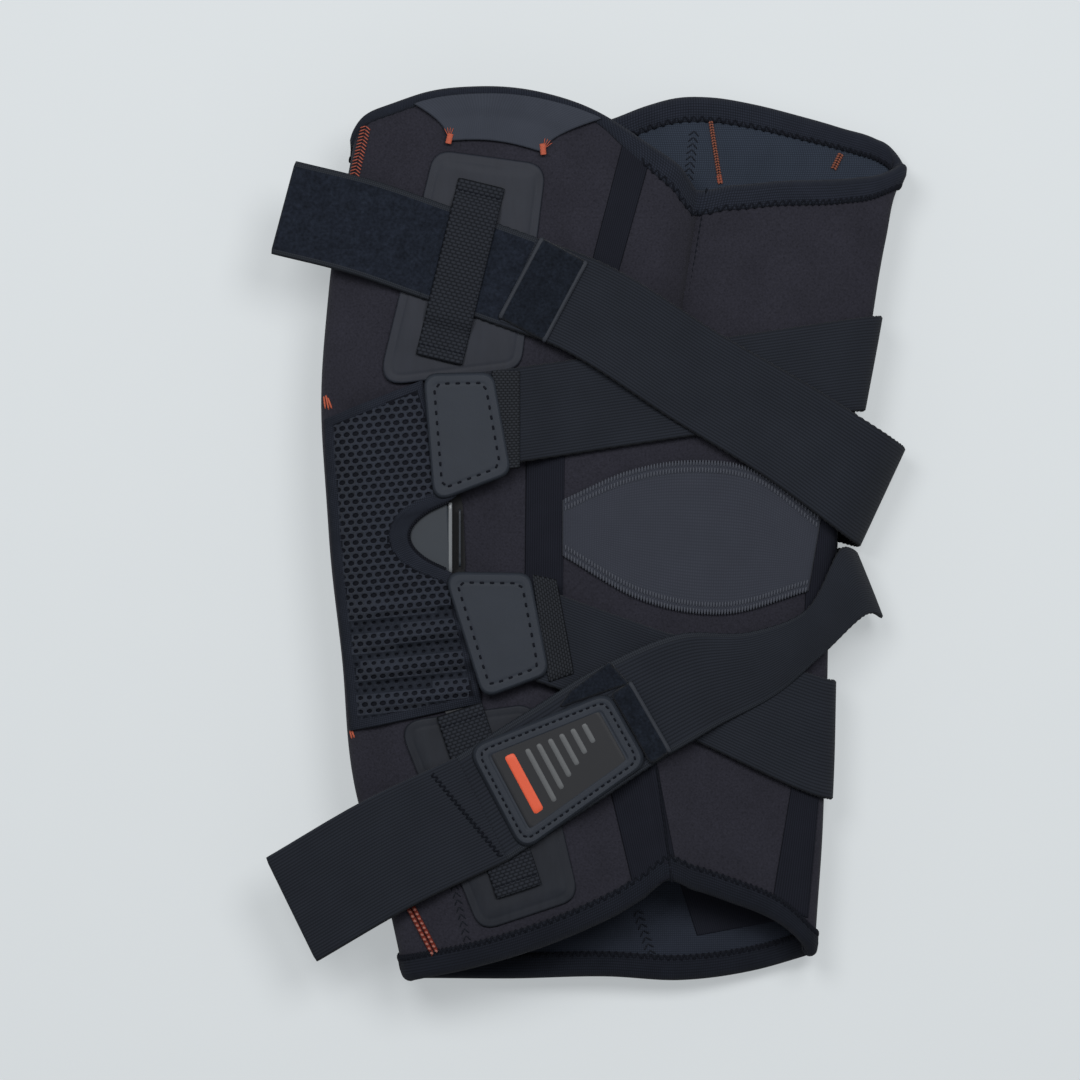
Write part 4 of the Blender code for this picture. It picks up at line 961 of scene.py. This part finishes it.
def netting(name, outline, side):
    """Open mesh: staggered cells, each a hole with a steep wall, tighter down in the channels."""
    half = np.array((CELL_X, CELL_Y)) / 2
    y, x = np.meshgrid(np.arange(-80.0, 66.0, CELL_Y), np.arange(-50.0, 30.0, CELL_X), indexing="ij")
    x = x + half[0] * (np.arange(len(x)) % 2)[:, None]
    cells = np.stack([x, y + x * CELL_LEAN], axis=-1).reshape(-1, 2)
    margin = NET_MARGIN + NOTCH_BAND * near_notch(cells)
    cells = cells[inside(cells, outline) & (edge_distance(cells, outline) > margin)]
    sunk = np.where(cells[:, 1] < CHANNEL_TOP, 0.5 - 0.5 * np.cos(channel_turn(*cells.T)), 0.0)
    hole = CELL_RING / np.linalg.norm(CELL_RING, axis=1, keepdims=True) * (1 - 0.4 * sunk)[:, None, None]
    rings = np.stack([CELL_RING + 0 * hole, *(hole * share for _, share in HOLE_WALL)], axis=1) * half
    rings[..., 1] += rings[..., 0] * CELL_LEAN
    drops = np.array([0.0, *(drop for drop, _ in HOLE_WALL)])[:, None]
    flat = cells[:, None, None] + rings
    points = raised(flat, mesh_height(flat[..., 0], flat[..., 1]) + 0.55 - drops)
    wall = quads(len(drops), len(CELL_RING), wrap=True)
    faces = wall + drops.size * len(CELL_RING) * np.arange(len(cells))[:, None, None]
    # cells deep in the channels take the darker mesh colour, painted shade for the valleys
    return mesh_object(name, on_side(points.reshape(-1, 3), side), faces.reshape(-1, 4), [MESH, MESH_PAINTED_SHADE],
                       which=np.repeat(sunk > 0.7, len(wall)))


def air_mesh(label, side):
    """The mesh cover over the hinge: a bordered backing, a painted shadow line in its notch and open netting
    on top.
    """
    outline = mesh_edge()
    net = netting(label + "_air_mesh", outline, side)
    j, i = np.meshgrid(np.linspace(0, 1, 150), np.linspace(0, 1, 48), indexing="ij")
    right_y = mix(*MESH_RIGHT_SPAN, j)
    y = mix(mix(*MESH_LEFT_SPAN, j), right_y, i)
    x = mix(left_side(y) + MESH_INSET, mesh_right(right_y), i)
    flat = np.stack([x, y], axis=-1)
    away = edge_distance(flat, outline)
    border = BORDER + NOTCH_BAND * near_notch(flat)
    lift = mix(0.75, -0.75, smoothstep(border - 0.7, border + 0.7, away))
    roll = -0.5 * (1 - smoothstep(0.0, 1.2, away))
    seam = -0.25 * bell(away, border - 1.8, 0.5)
    grid = on_side(raised(flat, mesh_height(x, y) + lift + roll + seam), side)
    backing = shell(label + "_mesh_backing", grid, 0.7, [MESH_EDGE, MESH_BACKING_AND_PAINTED_SHADOW], (away > border)[:-1, :-1])
    sew(backing, "air_mesh", label + "_mesh_cover", on=[label + "_hinge_cover"])
    # a dark thread along the notch edge, painted shadow where the mesh ends at the hinge cover
    notch = resampled(np.column_stack([mesh_right(NOTCH_SPAN), NOTCH_SPAN]), 1.0) + (0.3, 0.0)
    shadow_line = on_side(raised(notch, mesh_height(*notch.T) + 0.1), side)
    sew(threads(label + "_notch_painted_shadow", shadow_line[:-1], shadow_line[1:], 0.8, MESH_BACKING_AND_PAINTED_SHADOW, 0.3, side * UP), "air_mesh")
    sew(net, "air_mesh", on=[label + "_mesh_cover"], layers=1)


def make_side(label, side):
    upper, lower = label + "_upper", label + "_lower"
    air_mesh(label, side)
    patch(upper, UPPER_PATCH, side, FILM)
    patch(lower, LOWER_PATCH, side, WORN_FILM)
    keeper(upper, UPPER_KEEPER, UPPER_KEPT, OVER_UPPER_STRAP, side)
    keeper(lower, LOWER_KEEPER, LOWER_KEPT, OVER_PATCH, side)
    tab(upper, UPPER_TAB, side)
    tab(lower, LOWER_TAB, side)


# Straps

def root_lay(x, free):
    """Height of a strap over the sleeve, from its root down to where it lies on it."""
    return mix(STRAP_ROOT, STRAP_LAY, smoothstep(free, free + ANCHOR_RAMP, x))


def path_along(stations, with_height=False):
    """A smooth path through stations, and the run to each of them."""
    run = [0.0]
    for a, b in zip(stations, stations[1:]):
        rise = abs(b[2] - a[2]) if with_height else 0.0
        run.append(run[-1] + math.dist(a[:2], b[:2]) + rise)
    return through([(r, *s) for r, s in zip(run, stations)]), run


def spread(x, y, angle, half, k=ACROSS):
    """Points across a strap, whose width is turned by an angle in degrees."""
    turned = np.radians(angle)
    return x + np.cos(turned) * half * k, y + np.sin(turned) * half * k


def anchor_strap(where, stations, free, far_over, flare):
    """A strap from its root round the back edge, spread a little where it folds."""
    (root_x, root_y), (_, edge_y), (end_x, end_y) = stations
    first, last = turn_of(root_x, root_y), 1 - turn_of(end_x, end_y)
    turn = np.linspace(first, last, 200)[:, None]
    k = np.linspace(-1, 1, 24)[None, :]
    share, root_share, end_share = share_of(turn), share_of(first), share_of(last)
    y = np.where(turn < 0.5, mix(root_y, edge_y, (share - root_share) / (1 - root_share)),
                 mix(edge_y, end_y, (1 - share) / (1 - end_share)))
    y = y + k * STRAP_WIDTH / 2 * (1 + flare * smoothstep(*FLARE_SPAN, share))
    turn = turn + 0 * k
    middle = sleeve_point(turn, y)
    x = middle[..., 0]
    lay = np.where(turn < 0.5, root_lay(x, free), mix(far_over, STRAP_LAY, smoothstep(*FAR_RAMP, x)))
    grid = middle + sleeve_normal(turn, y) * (lay + STRAP_THICKNESS / 2)[..., None]
    made = shell(where + "_anchor_webbing", grid, STRAP_THICKNESS, [ELASTIC], None, STRAP_TEETH)
    sew(made, "elastic_webbing", where + "_anchor_strap", on=BOTH_SLEEVES, across=STRAP_WIDTH)


def cross_strap(where, near, fold, far, over, descent, finishes, change, curl, lean):
    """A strap from its tail across the knee, round a loose fold behind it and back below."""
    fold_x, fold_y, *width = fold
    inset = (BACK_NEAR_Z - BACK_FAR_Z) / 4
    top = BACK_NEAR_Z + CROSSING / 2
    low = BACK_FAR_Z - STRAP_LAY - STRAP_THICKNESS / 4
    leave_z, fold_z, land_z = (mix(low, top, k) for k in FOLD_HEIGHTS)
    bend = [(fold_x - inset, fold_y + inset * lean, leave_z, *width), (fold_x, fold_y, fold_z, *width),
            (fold_x - inset, fold_y + inset / 4, land_z, *width)]
    stations = [(x, y, top, a, k) for x, y, a, k in near] + bend + [(x, y, low, a, k) for x, y, a, k in far]
    path, run = path_along(stations, True)
    leave, land = run[len(near) - 1], run[len(near) + len(bend)]
    at = np.linspace(0, run[-1], 240)[:, None]
    x, y, z, angle, share = np.moveaxis(path(at[:, 0]), -1, 0)[..., None]
    px, py = spread(x, y, angle, share * STRAP_WIDTH / 2)
    above = mix(over, CROSSING, smoothstep(*descent, px)) + STRAP_THICKNESS / 2
    below = root_lay(px, ANCHOR_FREE) + STRAP_THICKNESS / 2
    near_z = surface_height(1, px, py, BRIDGE_SHARE) + above
    far_z = surface_height(-1, px, py, BRIDGE_SHARE) - below
    lift = mix(near_z, z, smoothstep(leave, leave + FOLD_EASE, at))
    rolled = curl * smoothstep(leave - 70, leave - 10, at) * (1 - smoothstep(land - 40, land, at))
    height = mix(lift, far_z, smoothstep(land - FOLD_EASE, land, at))
    height = height + rolled * (1 - (ACROSS - 0.2) ** 2 * 1.3)
    plush = (x[:-1] < change) & (at[:-1] < leave)
    which = np.where(plush, np.where(AT_EDGE, 2, 1), 0)
    grid = np.stack([px, py, height], axis=-1)
    made = shell(where + "_cross_webbing", grid, STRAP_THICKNESS, finishes, which, STRAP_TEETH)
    sew(made, "elastic_webbing", where + "_cross_strap", on=BOTH_SLEEVES, across=STRAP_WIDTH)


def strap_tail(where, name, stations, width, over, droop, finishes, seam=None):
    """A free strap end that sags away from its crease, with a zigzag seam across it where one is given."""
    path, run = path_along(stations)
    at = np.linspace(-0.55, run[-1], 90)[:, None]
    x, y, angle = np.moveaxis(path(at[:, 0]), -1, 0)[..., None]
    first, second = (np.array((*s[:2], NEAR_Z + over)) for s in stations[:2])
    heading = unit(second - first)
    x, y = x + heading[0] * np.minimum(at, 0), y + heading[1] * np.minimum(at, 0)
    share = at / run[-1]
    sag = droop * share ** 2 - 0.5 * np.sin(share * 7.0 + ACROSS) * share
    grid = np.stack([*spread(x, y, angle, width / 2), first[2] + STRAP_THICKNESS / 2 - sag], axis=-1)
    which = np.tile(np.where(AT_EDGE, len(finishes) - 1, 0), (len(at) - 1, 1))
    made = shell(name, grid, STRAP_THICKNESS, finishes, which)
    pieces = [made]
    if seam:
        n = np.arange(37)
        k = n / n[-1]
        zig = mix(*seam, k) + np.where(n % 2, 1.0, -1.0)
        middle = (np.interp(zig, at[:, 0], value[:, 0]) for value in (x, y, angle))
        level = first[2] + STRAP_THICKNESS + 0.1 - droop * (zig / run[-1]) ** 2
        line = np.stack([*spread(*middle, width / 2, mix(-0.9, 0.94, k)), level], axis=-1)
        pieces.append(threads(name + "_seam", line[:-1], line[1:], 0.34, BLACK_THREAD))
    for piece in pieces:
        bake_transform(piece)
    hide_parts(where + "_strap_tail")


def flat_pad(name, corners, radius, high, thickness, look, slot, rings=8, relief=None, nodes=()):
    """A thin level piece with a rounded edge, and a relief where one is given."""
    def top_of(x, y, away):
        edge = -0.5 * thickness * (1 - smoothstep(0.0, 0.8, away)) ** 2
        return high + edge + (relief(x, y, away) if relief else 0.0)

    sew(pad(name, rounded(corners, radius, 0.9), top_of, thickness, look, rings), slot, *nodes)


def make_straps():
    anchor_strap("upper", UPPER_ANCHOR, ANCHOR_FREE, OVER_PATCH, 0.0)
    anchor_strap("lower", LOWER_ANCHOR, LOWER_ANCHOR_FREE, OVER_LOWER_KEEPER, FLARE)
    cross_strap("upper", UPPER_CROSS_NEAR, UPPER_CROSS_FOLD, UPPER_CROSS_FAR, OVER_PATCH, CROSS_DESCENT,
                [ELASTIC, PLUSH, SELVEDGE_AND_HIGHLIGHT], VELVET_END, 0.0, 0.69)
    # the lower strap's lighter edge colour is a painted highlight on its rolled edges
    cross_strap("lower", LOWER_CROSS_NEAR, LOWER_CROSS_FOLD, LOWER_CROSS_FAR, OVER_LOWER_KEEPER,
                LOWER_DESCENT, [ELASTIC, ELASTIC, SELVEDGE_AND_HIGHLIGHT], WHOLE_RUN, 2.0, 0.25)
    strap_tail("upper", "upper_plush_tail", UPPER_TAIL, STRAP_WIDTH, OVER_PATCH, 7.0, [PLUSH, SELVEDGE_AND_HIGHLIGHT])
    strap_tail("lower", "lower_webbing_tail", LOWER_TAIL, TAIL_WIDTH, OVER_LOWER_KEEPER, 12.0, [ELASTIC],
               TAIL_SEAM)


def make_hooks():
    """Hook patches on the cross straps."""
    def pile(x, y, away):
        return 0.15 * np.sin(x * 2.1) * np.sin(y * 2.4) * smoothstep(0.5, 2.0, away)

    thickness = 1.2
    upper, lower = NEAR_Z + OVER_UPPER_STRAP, NEAR_Z + OVER_LOWER_STRAP
    for name, corners, radius, base, nodes in (
            ("upper_hook_plush", UPPER_HOOK, 1.8, upper, ["upper_hook_patch"]),
            ("lower_hook_plush", LOWER_HOOK, 1.8, lower, ["lower_hook_patch"]),
            ("lower_hook_plush_top", LOWER_HOOK_TOP, 0.8, lower, [])):
        flat_pad(name, corners, radius, base + thickness, thickness, HOOK, "loop_pile", 30, pile, nodes)


def make_welts():
    """Pressed welts beside the hook patches."""
    for name, start, end, over in (("upper_welt_left", UPPER_HOOK[0], UPPER_HOOK[3], OVER_UPPER_STRAP),
                                   ("upper_welt_right", UPPER_HOOK[1], UPPER_HOOK[2], OVER_UPPER_STRAP),
                                   ("lower_welt", LOWER_HOOK[2], LOWER_HOOK[3], OVER_LOWER_STRAP)):
        start, end = np.array(start, float), np.array(end, float)
        across = unit(np.array((end[1] - start[1], start[0] - end[0]))) * 0.9
        corners = [start - across, start + across, end + across, end - across]
        flat_pad(name, corners, 0.6, NEAR_Z + over + 1.5, 1.3, WELT, "loop_pile")


def make_strips():
    """Coarse strips sewn over the anchor straps' roots."""
    for level, corners, free in (("upper", UPPER_ROOT_STRIP, ANCHOR_FREE),
                                 ("lower", LOWER_ROOT_STRIP, LOWER_ANCHOR_FREE)):
        flat = quad_grid(corners, 50, 14)
        x, y = flat[..., 0], flat[..., 1]
        high = surface_height(1, x, y) + root_lay(x, free) + STRAP_THICKNESS + 0.55
        sew(shell(level + "_root_strip", raised(flat, high), 0.9, [COARSE]), "elastic_webbing",
            on=[level + "_anchor_strap"])


def make_badge():
    """A rubber badge with a stitched rim, a sunk window, a coloured bar and a row of grey ribs."""
    radius, stitch_inset, slot = 6.5, 2.6, "moulded_rubber"
    high = NEAR_Z + OVER_LOWER_STRAP + BADGE_THICKNESS

    def rim(x, y, away):
        return -0.55 * smoothstep(5.0, 5.8, away) - 0.25 * bell(away, stitch_inset, 0.5)

    flat_pad("badge_frame", BADGE, radius, high, BADGE_THICKNESS, RUBBER, slot, 90, rim, ["strap_badge"])
    outline = rounded(BADGE, radius, 0.9)
    sew_row("badge_stitches", *dashes(outline, stitch_inset, 2.9, 1.7), high - 0.2, 0.38, slot)
    corners = np.array(BADGE, float)
    a, b, c, d = window = mix(corners.mean(axis=0), corners, 0.79)
    flat_pad("badge_window", window, 3.0, high - 0.35, 0.5, WINDOW, slot, 20)

    def bar(left, right, low, top):
        places = ((left, low), (left, top), (right, top), (right, low))
        return [mix(mix(a, d, u), mix(b, c, u), v) for u, v in places]

    flat_pad("badge_bar", bar(0.10, 0.19, 0.12, 0.86), 1.2, high - 0.1, 0.5, PRINT_ORANGE, slot)
    for n in range(6):
        left = 0.28 + 0.105 * n
        rib = bar(left, left + 0.045, 0.14, 0.14 + (0.80 - 0.09 * n) * 0.9)
        flat_pad(f"badge_rib_{n + 1}", rib, 0.9, high - 0.15, 0.4, PRINT_GREY, slot)


# Seams and coloured stitches

def stitches(name, starts, stops, radius, lay, inner=False, look=ORANGE_THREAD):
    side = -1 if inner else 1
    firsts, seconds = (on_sleeve(np.array(spots), lay, side) for spots in (starts, stops))
    sew(threads(name, firsts, seconds, radius, look), "neoprene")


def seam_line(start, end, step):
    """Even points along a line, with its heading and the direction across it."""
    start, end = np.array(start, float), np.array(end, float)
    count = max(3, int(np.linalg.norm(end - start) / step))
    heading = unit(end - start)
    return mix(start, end, np.linspace(0, 1, count)[:, None]), heading, np.array((-heading[1], heading[0]))


def herringbone(name, start, end, half, step, radius, lay, inner=False, look=ORANGE_THREAD):
    spots, heading, across = seam_line(start, end, step)
    ahead = heading * step * 0.9
    starts = [*(spots + across * 0.1), *(spots - across * 0.1)]
    stops = [*(spots + across * half + ahead), *(spots - across * half + ahead)]
    stitches(name, starts, stops, radius, lay, inner, look)


def chain(name, start, end, gap, lay):
    """Two rows of short pale stitches, painted highlights on the thread, each over a deeper coloured cord."""
    spots, heading, across = seam_line(start, end, 1.75)
    rows = np.concatenate([spots - across * gap, spots + across * gap])
    stitches(name + "_core", rows - heading * 1.6, rows + heading * 1.6, 0.88, lay - 0.6, look=DEEP_ORANGE)
    slant = across * 0.4 + heading * 0.55
    # pale stitches over the cord: painted highlights on the thread's loops
    stitches(name, rows - slant, rows + slant, 0.5, lay + 0.6, look=ORANGE_PAINTED_HIGHLIGHT)


def bartack(name, middle, across, length, rays, lay):
    """A dense knot of thread with thin rays fanned over the flap."""
    half_width, ray_length = 1.2, 4.6
    middle, across = np.array(middle, float), unit(np.array(across, float))
    along = np.array((-across[1], across[0]))
    rows = middle + along * (np.linspace(-0.5, 0.5, 8) * length)[:, None]
    stitches(name, rows - across * half_width, rows + across * half_width, 0.42, lay)
    fan = np.radians(np.array(rays, float))
    ends = middle + np.stack([np.cos(fan), np.sin(fan)], axis=-1) * ray_length
    stitches(name + "_rays", [middle] * len(ends), ends, 0.14, lay + 0.1)


def fold_shadow_line(name, start, end):
    """A dark line of thread drawn down into a fold: painted shadow along the crease."""
    spots, heading, _ = seam_line(start, end, 2.4)
    stitches(name, spots[:-1] - heading, spots[1:] + heading, 0.5, 0.6, look=BLACK_THREAD)


def make_seams():
    # dark thread lines along the two sleeve folds, painted shadow in the creases
    fold_shadow_line("thigh_fold_painted_shadow", (111.4, 139.0), (101.4, 80.0))
    fold_shadow_line("calf_fold_painted_shadow", (91.4, -92.0), (97.2, -136.0))
    herringbone("thigh_front_herringbone", (-24.6, 164.0), (-29.6, 143.0), 2.1, 1.25, 0.26, 1.0,
                look=DULL_ORANGE)
    chain("calf_front_chain", (-6.0, -148.4), (2.6, -164.8), 1.0, 0.6)
    herringbone("lining_herringbone", (113.6, 168.0), (117.4, 143.6), 0.85, 1.0, 0.36, -4.5, True,
                FADED_ORANGE)
    herringbone("lining_knot", (116.9, 146.0), (117.3, 144.0), 1.0, 0.7, 0.45, -4.2, True, DULL_ORANGE)
    herringbone("lining_bartack", (166.3, 155.0), (163.6, 149.6), 1.2, 0.8, 0.42, -4.5, True, FADED_ORANGE)
    herringbone("lining_seam", (107.0, 164.0), (103.8, 139.0), 2.0, 2.2, 0.25, -4.3, True, BINDING)
    herringbone("calf_lining_seam", (84.0, -150.0), (89.0, -166.0), 2.0, 2.2, 0.27, -4.3, True, DARK_BINDING)
    herringbone("calf_front_seam", (10.6, -138.0), (16.0, -161.0), 1.6, 2.4, 0.22, 0.2, look=DARK_BINDING)
    bartack("flap_left_bartack", (8.8, 158.6), (1.0, -0.25), 3.4, (70, 85, 100, 115), 2.4)
    bartack("flap_right_bartack", (46.0, 154.4), (1.0, 0.1), 3.8, (35, 50, 65, 80), 2.4)
    stitches("thigh_edge_bartack", [(-41.4, 56.6), (-40.6, 57.0), (-39.8, 56.0)],
             [(-40.8, 51.6), (-39.4, 51.2), (-38.2, 51.6)], 0.4, 0.3)
    stitches("calf_edge_bartack", [(-31.0, -76.8), (-30.2, -76.8)], [(-30.2, -80.0), (-29.2, -79.6)], 0.4,
             0.3)


# Hinges

def cover_line(label, side, part, left, right, reach, high, look):
    """A thin raised line on the hinge cover."""
    outline = rounded([(left, -reach), (right, -reach), (right, reach), (left, reach)], 0.3, 0.5)

    def top_of(x, y, away):
        return NEAR_Z + high - 0.3 * (away < 0.1)

    made = pad(f"{label}_cover_{part}", outline, top_of, 1.0, look, 8, side)
    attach(made, label + "_link")


def dress_hinges():
    """Finishes of the hinge nodes, which keep their shape, and the lines on their covers."""
    finishes = {"hinge_frame": DARK_HOUSING, "hinge_cover": HOUSING, "plate": STEEL, "arm": STEEL,
                "rivet": RIVET}
    for name, made in frame["nodes"].items():
        for ending, look in finishes.items():
            if name.endswith(ending):
                made.data.materials.clear()
                made.data.materials.append(look)
    for label, side in (("lateral", 1), ("medial", -1)):
        # the light line along the cover's edge is a painted highlight
        cover_line(label, side, "edge", 8.5, 9.9, 13.5, 8.05, HINGE_PAINTED_HIGHLIGHT)
        cover_line(label, side, "lip", 12.6, 13.3, 11.0, 5.6, HOUSING)


make_sleeve()
make_tapes()
make_panel()
make_flap()
make_side("lateral", 1)
make_side("medial", -1)
make_straps()
make_hooks()
make_badge()
make_strips()
make_welts()
make_seams()
dress_hinges()


# Table, light and camera

TABLE_COLOUR = (0.70, 0.73, 0.745)
BACKDROP_COLOUR = (0.735, 0.775, 0.796, 1.0)
BACKDROP_SHARE = 0.5
TABLE_SIZE, TABLE_DROP = 6.0, 0.0007
WORLD_COLOUR, WORLD_STRENGTH = (0.95, 0.98, 1.0, 1.0), 0.3
LAMP_SIZE = 0.66
LAMP_X, LAMP_Y, LAMP_Z = 0.45, 0.58, 1.55
RIGHT_POWER, LEFT_POWER = 11.2, 10.8
CAMERA_X, CAMERA_Y, CAMERA_FOCUS_Z = -0.0192, -0.0018, 0.03
CAMERA_DISTANCE, CAMERA_FIELD, SENSOR_WIDTH = 2.4, 0.432, 36.0


def table_look():
    """A pale matt floor that keeps a soft shadow and shows partly as an even backdrop to the camera."""
    made = finish("table", TABLE_COLOUR, 0.8, None, 30.0, 0.0, 0.99, 1.01)
    tree = made.node_tree
    surface = tree.nodes["Material Output"].inputs["Surface"]
    matt = surface.links[0].from_socket
    even = node(tree, "ShaderNodeEmission", {"Color": BACKDROP_COLOUR, "Strength": 1.0}).outputs[0]
    path = node(tree, "ShaderNodeLightPath").outputs
    seen = calc(tree, "ADD", path["Is Camera Ray"], path["Is Glossy Ray"])
    share = calc(tree, "MULTIPLY", seen, BACKDROP_SHARE)
    tree.links.new(node(tree, "ShaderNodeMixShader", {0: share, 1: matt, 2: even}).outputs[0], surface)
    return made


def make_stage():
    bpy.ops.mesh.primitive_plane_add(size=TABLE_SIZE, location=(0.0, 0.0, -TABLE_DROP))
    table = bpy.context.object
    table.name = "table"
    table.data.materials.append(table_look())


def area_lamp(name, x, power):
    lamp = bpy.data.lights.new(name, "AREA")
    lamp.shape = "DISK"
    lamp.size = LAMP_SIZE
    lamp.energy = power
    made = bpy.data.objects.new(name, lamp)
    made.location = (x, LAMP_Y, LAMP_Z)
    bpy.context.scene.collection.objects.link(made)
    aim = bpy.data.objects.new(name + "_aim", None)
    bpy.context.scene.collection.objects.link(aim)
    track = made.constraints.new("TRACK_TO")
    track.target = aim
    track.track_axis = "TRACK_NEGATIVE_Z"
    track.up_axis = "UP_Y"


def make_light():
    surround = bpy.data.worlds.new("studio")
    surround.use_nodes = True
    background = surround.node_tree.nodes["Background"].inputs
    background["Color"].default_value = WORLD_COLOUR
    background["Strength"].default_value = WORLD_STRENGTH
    bpy.context.scene.world = surround
    area_lamp("soft_right", LAMP_X, RIGHT_POWER)
    area_lamp("soft_left", -LAMP_X, LEFT_POWER)


def make_camera():
    lens = bpy.data.cameras.new("camera")
    lens.sensor_width = SENSOR_WIDTH
    lens.lens = SENSOR_WIDTH * CAMERA_DISTANCE / CAMERA_FIELD
    made = bpy.data.objects.new("camera", lens)
    made.location = (CAMERA_X, CAMERA_Y, CAMERA_FOCUS_Z + CAMERA_DISTANCE)
    bpy.context.scene.collection.objects.link(made)
    bpy.context.scene.camera = made
    bpy.context.scene.view_settings.view_transform = "Standard"


make_stage()
make_light()
make_camera()
